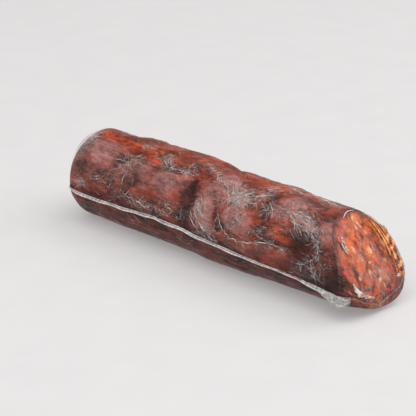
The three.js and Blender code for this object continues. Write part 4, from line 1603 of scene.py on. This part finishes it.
class SAUSAGE_OT_cut_film(bpy.types.Operator):
    """Fold the wet film over the cut: pleats, glints, the stained film, its rim and the torn flap"""

    bl_idname = "sausage.cut_film"
    bl_label = "Film on the cut"

    def execute(self, context):
        form = Form(context.scene.sausage_sizes)
        film = context.scene.film_sizes
        colours = context.scene.sausage_colours
        self.pleats(form, colours.wet_film)
        self.amber(form, film.amber, colours)
        self.fine_folds(form, colours.film)
        self.flap(form, film.torn, colours.flap)
        self.flange(form, film.torn, colours.flange)
        return {"FINISHED"}

    def pleats(self, form, colour):
        """The few thick pleats of wet film."""
        pleats = Lines()
        for thick, line in FACE_PLEATS:
            path = bent_line(line, 0.6)
            uneven = 1 + 0.35 * mottle(path, 2.5, len(pleats.points))
            points = face_spots(form, path[:, 0], path[:, 1], 0.45)
            glint = np.clip(0.8 + 0.4 * mottle(path, 3, 96), 0.3, 1)
            pleats.add(points, tapered(len(points), 0.8 * thick * MM, 0.5) * uneven, glint)
        finish = wrinkle_finish("wet_pleat", colour, 1.0, 0.15, 0.2)
        settle(swept_folds("face_pleats", pleats, finish, 6))

    def amber(self, form, thickness, colours):
        """Film stained by the fat, crumpled and wet, from the pleats to the rim."""
        edge = bent_line(AMBER_EDGE, 0.3)
        down = np.linspace(0, 1, len(edge))
        ends = np.sin(np.pi * down) ** 0.5
        rows, seen, gold = [], [], []
        for t in np.linspace(0, 1, 56):
            up = edge[:, 1] * (1 + 0.04 * t)
            rim = np.sqrt(np.maximum((form.radius * 0.985) ** 2 - up ** 2, 0)) * 0.97
            across = edge[:, 0] + (rim - edge[:, 0]) * t
            streak = mottle(np.stack([7 * t + 2.2 * down, 1.6 * down], axis=-1), 0.5, 97)
            crumple = mottle(np.stack([across, up], axis=-1), 2.0, 99)
            loose = smooth_step(down, 0.3, 0.6) * smooth_step(t, 0.2, 0.5)
            crest = np.clip(streak * (1 - 0.6 * loose) + crumple * (0.2 + 0.7 * loose), -1, 1)
            inner = smooth_step(t, 0.0, 0.3)
            lift = 0.3 + (0.45 * crest + 0.5 + 0.8 * t * t) * ends * inner
            rows.append(face_spots(form, across, up, lift))
            seen.append(inner * ends * (0.45 + 0.55 * smooth_step(crest, -0.9, 0.5)))
            # lighter towards the crests: painted light on the crests and painted shade in the
            # troughs
            gold.append(smooth_step(crest, -0.5, 0.8))
        piece = ruffled_sheet("amber_film", rows, thickness, amber_finish(colours), seen=seen,
                              gold=gold)
        settle(piece)

    def fine_folds(self, form, colour):
        """Fine white folds and glints on the cut, with the bright rim over its top."""
        draw = random.Random(91)
        folds = Lines()
        path = bent_line(TOP_RIM, 0.6)
        points = face_spots(form, path[:, 0], path[:, 1], 0.6)
        folds.add(points, tapered(len(points), 0.3 * MM, 0.6), 1.0)
        for across, up, reach, spread, count, length, slope in FACE_STACKS:
            for _ in range(count):
                start = (across + draw.gauss(0, 0.5) * reach, up + draw.gauss(0, 0.5) * spread)
                angle = math.radians(slope + draw.gauss(0, 16))
                long = length * draw.uniform(0.3, 1)
                bend = draw.uniform(-0.12, 0.12) * long
                way = np.array([math.cos(angle), math.sin(angle)])
                side = np.array([-way[1], way[0]])
                line = [start, start + way * long / 2 + side * bend, start + way * long]
                path = bent_line(line, 0.5)
                points = face_spots(form, path[:, 0], path[:, 1], 0.5)
                if length > LONGEST_GLINT:
                    strong = draw.random() ** 2
                    thick = CUT_HAIR_THICK[0] + CUT_HAIR_THICK[1] * strong
                    glint = CUT_HAIR_GLINT[0] + CUT_HAIR_GLINT[1] * strong
                else:
                    # the short ones are painted glints, white strokes for the wet highlights
                    thick, glint = 0.12 + 0.14 * draw.uniform(0.4, 1), 1.0
                folds.add(points, tapered(len(points), thick * MM), glint)
        finish = wrinkle_finish("cut_fold", colour)
        settle(swept_folds("face_folds", folds, finish))

    def flap(self, form, thickness, colour):
        """The torn white flap that lies on the cut's lower front."""
        spine = bent_line(FLAP, 0.35)
        share = np.linspace(0, 1, len(spine))
        wide = FLAP_WIDTH * np.sin(np.pi * share ** 0.8) * (1 + 0.25 * mottle(spine, 2, 93))
        rows = []
        for t in np.linspace(0, 1, 10):
            spot = np.stack([spine[:, 0], spine[:, 1] + 9 * t], axis=-1)
            lift = 1.1 + 0.35 * mottle(spot, 1.6, 94) + 0.5 * math.sin(math.pi * t)
            across = spine[:, 0] - 0.62 * wide * t
            up = spine[:, 1] - 0.78 * wide * t
            rows.append(face_spots(form, across, up, lift))
        finish = torn_finish("torn_flap", colour, 0.95, (1, 1, 1), 300)
        piece = ruffled_sheet("film_flap", rows, thickness, finish)
        settle(piece, "film_seam")

    def flange(self, form, thickness, colour):
        """The film's rim, which stands up round the back of the cut."""
        around = np.linspace(118, 215, 120)
        arc = form.arc(around)
        flat = np.stack([arc, np.zeros(len(around))], axis=-1)
        tall = 1.1 + 0.7 * mottle(flat, 4, 81) + 2.2 * np.exp(-((around - 150) / 8) ** 2)
        tall *= smooth_step(around, 116, 135) * (1 - smooth_step(around, 195, 216))
        edge = form.edge_of_cut(around)
        across, up = form.section(edge, around, 1.0, form.relief(edge, around))
        rows = []
        for t in np.linspace(0, 1, 9):
            share = 0.985 - 0.03 * t
            spot = np.stack([arc, np.full(len(around), 6 * t)], axis=-1)
            ripple = mottle(spot, 1.5, 82) * 0.5 * t
            along = form.face_along(across * share, up * share, share, 0.0, around)
            out = np.maximum(tall, 0.1) * t
            rows.append(form.place(along + out * 0.8, across * share + ripple,
                                   up * share + out * 0.5, LOWEST_FOLD))
        piece = ruffled_sheet("cut_flange", rows, thickness, flange_finish(colour))
        settle(piece)


class SAUSAGE_OT_stage(bpy.types.Operator):
    """Set up the pale floor, the soft light and the camera"""

    bl_idname = "sausage.stage"
    bl_label = "Stage"

    def execute(self, context):
        stage = context.scene.stage_settings
        self.floor(stage)
        self.light(stage)
        self.camera(context.scene, stage)
        context.scene.view_settings.view_transform = "Standard"
        return {"FINISHED"}

    def floor(self, stage):
        half = stage.floor_size / 2
        corners = [(-half, -half, 0), (half, -half, 0), (half, half, 0), (-half, half, 0)]
        mesh = new_mesh("floor", corners, [(0, 1, 2, 3)])
        finish = plain_finish("pale_floor", stage.floor_colour, 0.75, 40, 0.0002)
        shader = finish.node_tree.nodes["Principled BSDF"]
        shader.inputs["Emission Color"].default_value = WARM_WHITE
        shader.inputs["Emission Strength"].default_value = stage.floor_glow
        new_piece("floor", mesh, finish)

    def light(self, stage):
        world = bpy.data.worlds.new("studio")
        world.use_nodes = True
        sky = world.node_tree.nodes["Background"]
        sky.inputs["Color"].default_value = WARM_WHITE
        sky.inputs["Strength"].default_value = stage.sky
        bpy.context.scene.world = world
        self.lamp("key", stage.key_power, stage.key_size, stage.key_distance, stage.key_side,
                  stage.key_height)
        self.lamp("fill", stage.fill_power, stage.fill_size, stage.fill_distance,
                  -stage.fill_side, stage.fill_height)

    def lamp(self, name, power, size, distance, side, height):
        """A square soft light, turned to the sausage."""
        data = bpy.data.lights.new(name, "AREA")
        data.shape = "SQUARE"
        data.size = size
        data.energy = power
        lamp = bpy.data.objects.new(name, data)
        bpy.context.scene.collection.objects.link(lamp)
        level = math.cos(height)
        way = Vector((math.cos(side) * level, math.sin(side) * level, math.sin(height)))
        lamp.location = way * distance
        lamp.rotation_euler = way.to_track_quat("Z", "Y").to_euler()

    def camera(self, scene, stage):
        side, height = stage.camera_side, stage.camera_height
        back = Vector((math.sin(side) * math.cos(height), -math.cos(side) * math.cos(height),
                       math.sin(height)))
        data = bpy.data.cameras.new("camera")
        data.lens = stage.lens
        data.sensor_width = 36
        camera = bpy.data.objects.new("camera", data)
        scene.collection.objects.link(camera)
        camera.location = Vector(CAMERA_AIM) * MM + back * stage.camera_distance
        camera.rotation_euler = back.to_track_quat("Z", "Y").to_euler()
        scene.camera = camera


class SAUSAGE_PT_panel(bpy.types.Panel):
    """The sausage's pieces, sizes and colours"""

    bl_label = "Cured Sausage"
    bl_space_type = "VIEW_3D"
    bl_region_type = "UI"
    bl_category = "Sausage"

    def draw(self, context):
        scene = context.scene
        for operator in PIECES:
            self.layout.operator(operator.bl_idname)
        for group in ("sausage_sizes", "film_sizes", "sausage_colours", "stage_settings"):
            box = self.layout.box()
            settings = getattr(scene, group)
            for key in settings.__annotations__:
                box.prop(settings, key)


PIECES = (
    SAUSAGE_OT_stage,
    SAUSAGE_OT_meat,
    SAUSAGE_OT_film,
    SAUSAGE_OT_wrinkles,
    SAUSAGE_OT_welded_edge,
    SAUSAGE_OT_gathered_tail,
    SAUSAGE_OT_cut_film,
)
GROUPS = {
    "sausage_sizes": SausageSizes,
    "film_sizes": FilmSizes,
    "sausage_colours": SausageColours,
    "stage_settings": StageSettings,
}


def register():
    for name, group in GROUPS.items():
        bpy.utils.register_class(group)
        setattr(bpy.types.Scene, name, bpy.props.PointerProperty(type=group))
    for each in (*PIECES, SAUSAGE_PT_panel):
        bpy.utils.register_class(each)


def unregister():
    for each in (SAUSAGE_PT_panel, *reversed(PIECES)):
        bpy.utils.unregister_class(each)
    for name, group in reversed(GROUPS.items()):
        delattr(bpy.types.Scene, name)
        bpy.utils.unregister_class(group)


def main():
    register()
    for operator in PIECES:
        family, name = operator.bl_idname.split(".")
        getattr(getattr(bpy.ops, family), name)()


if __name__ == "__main__":
    main()
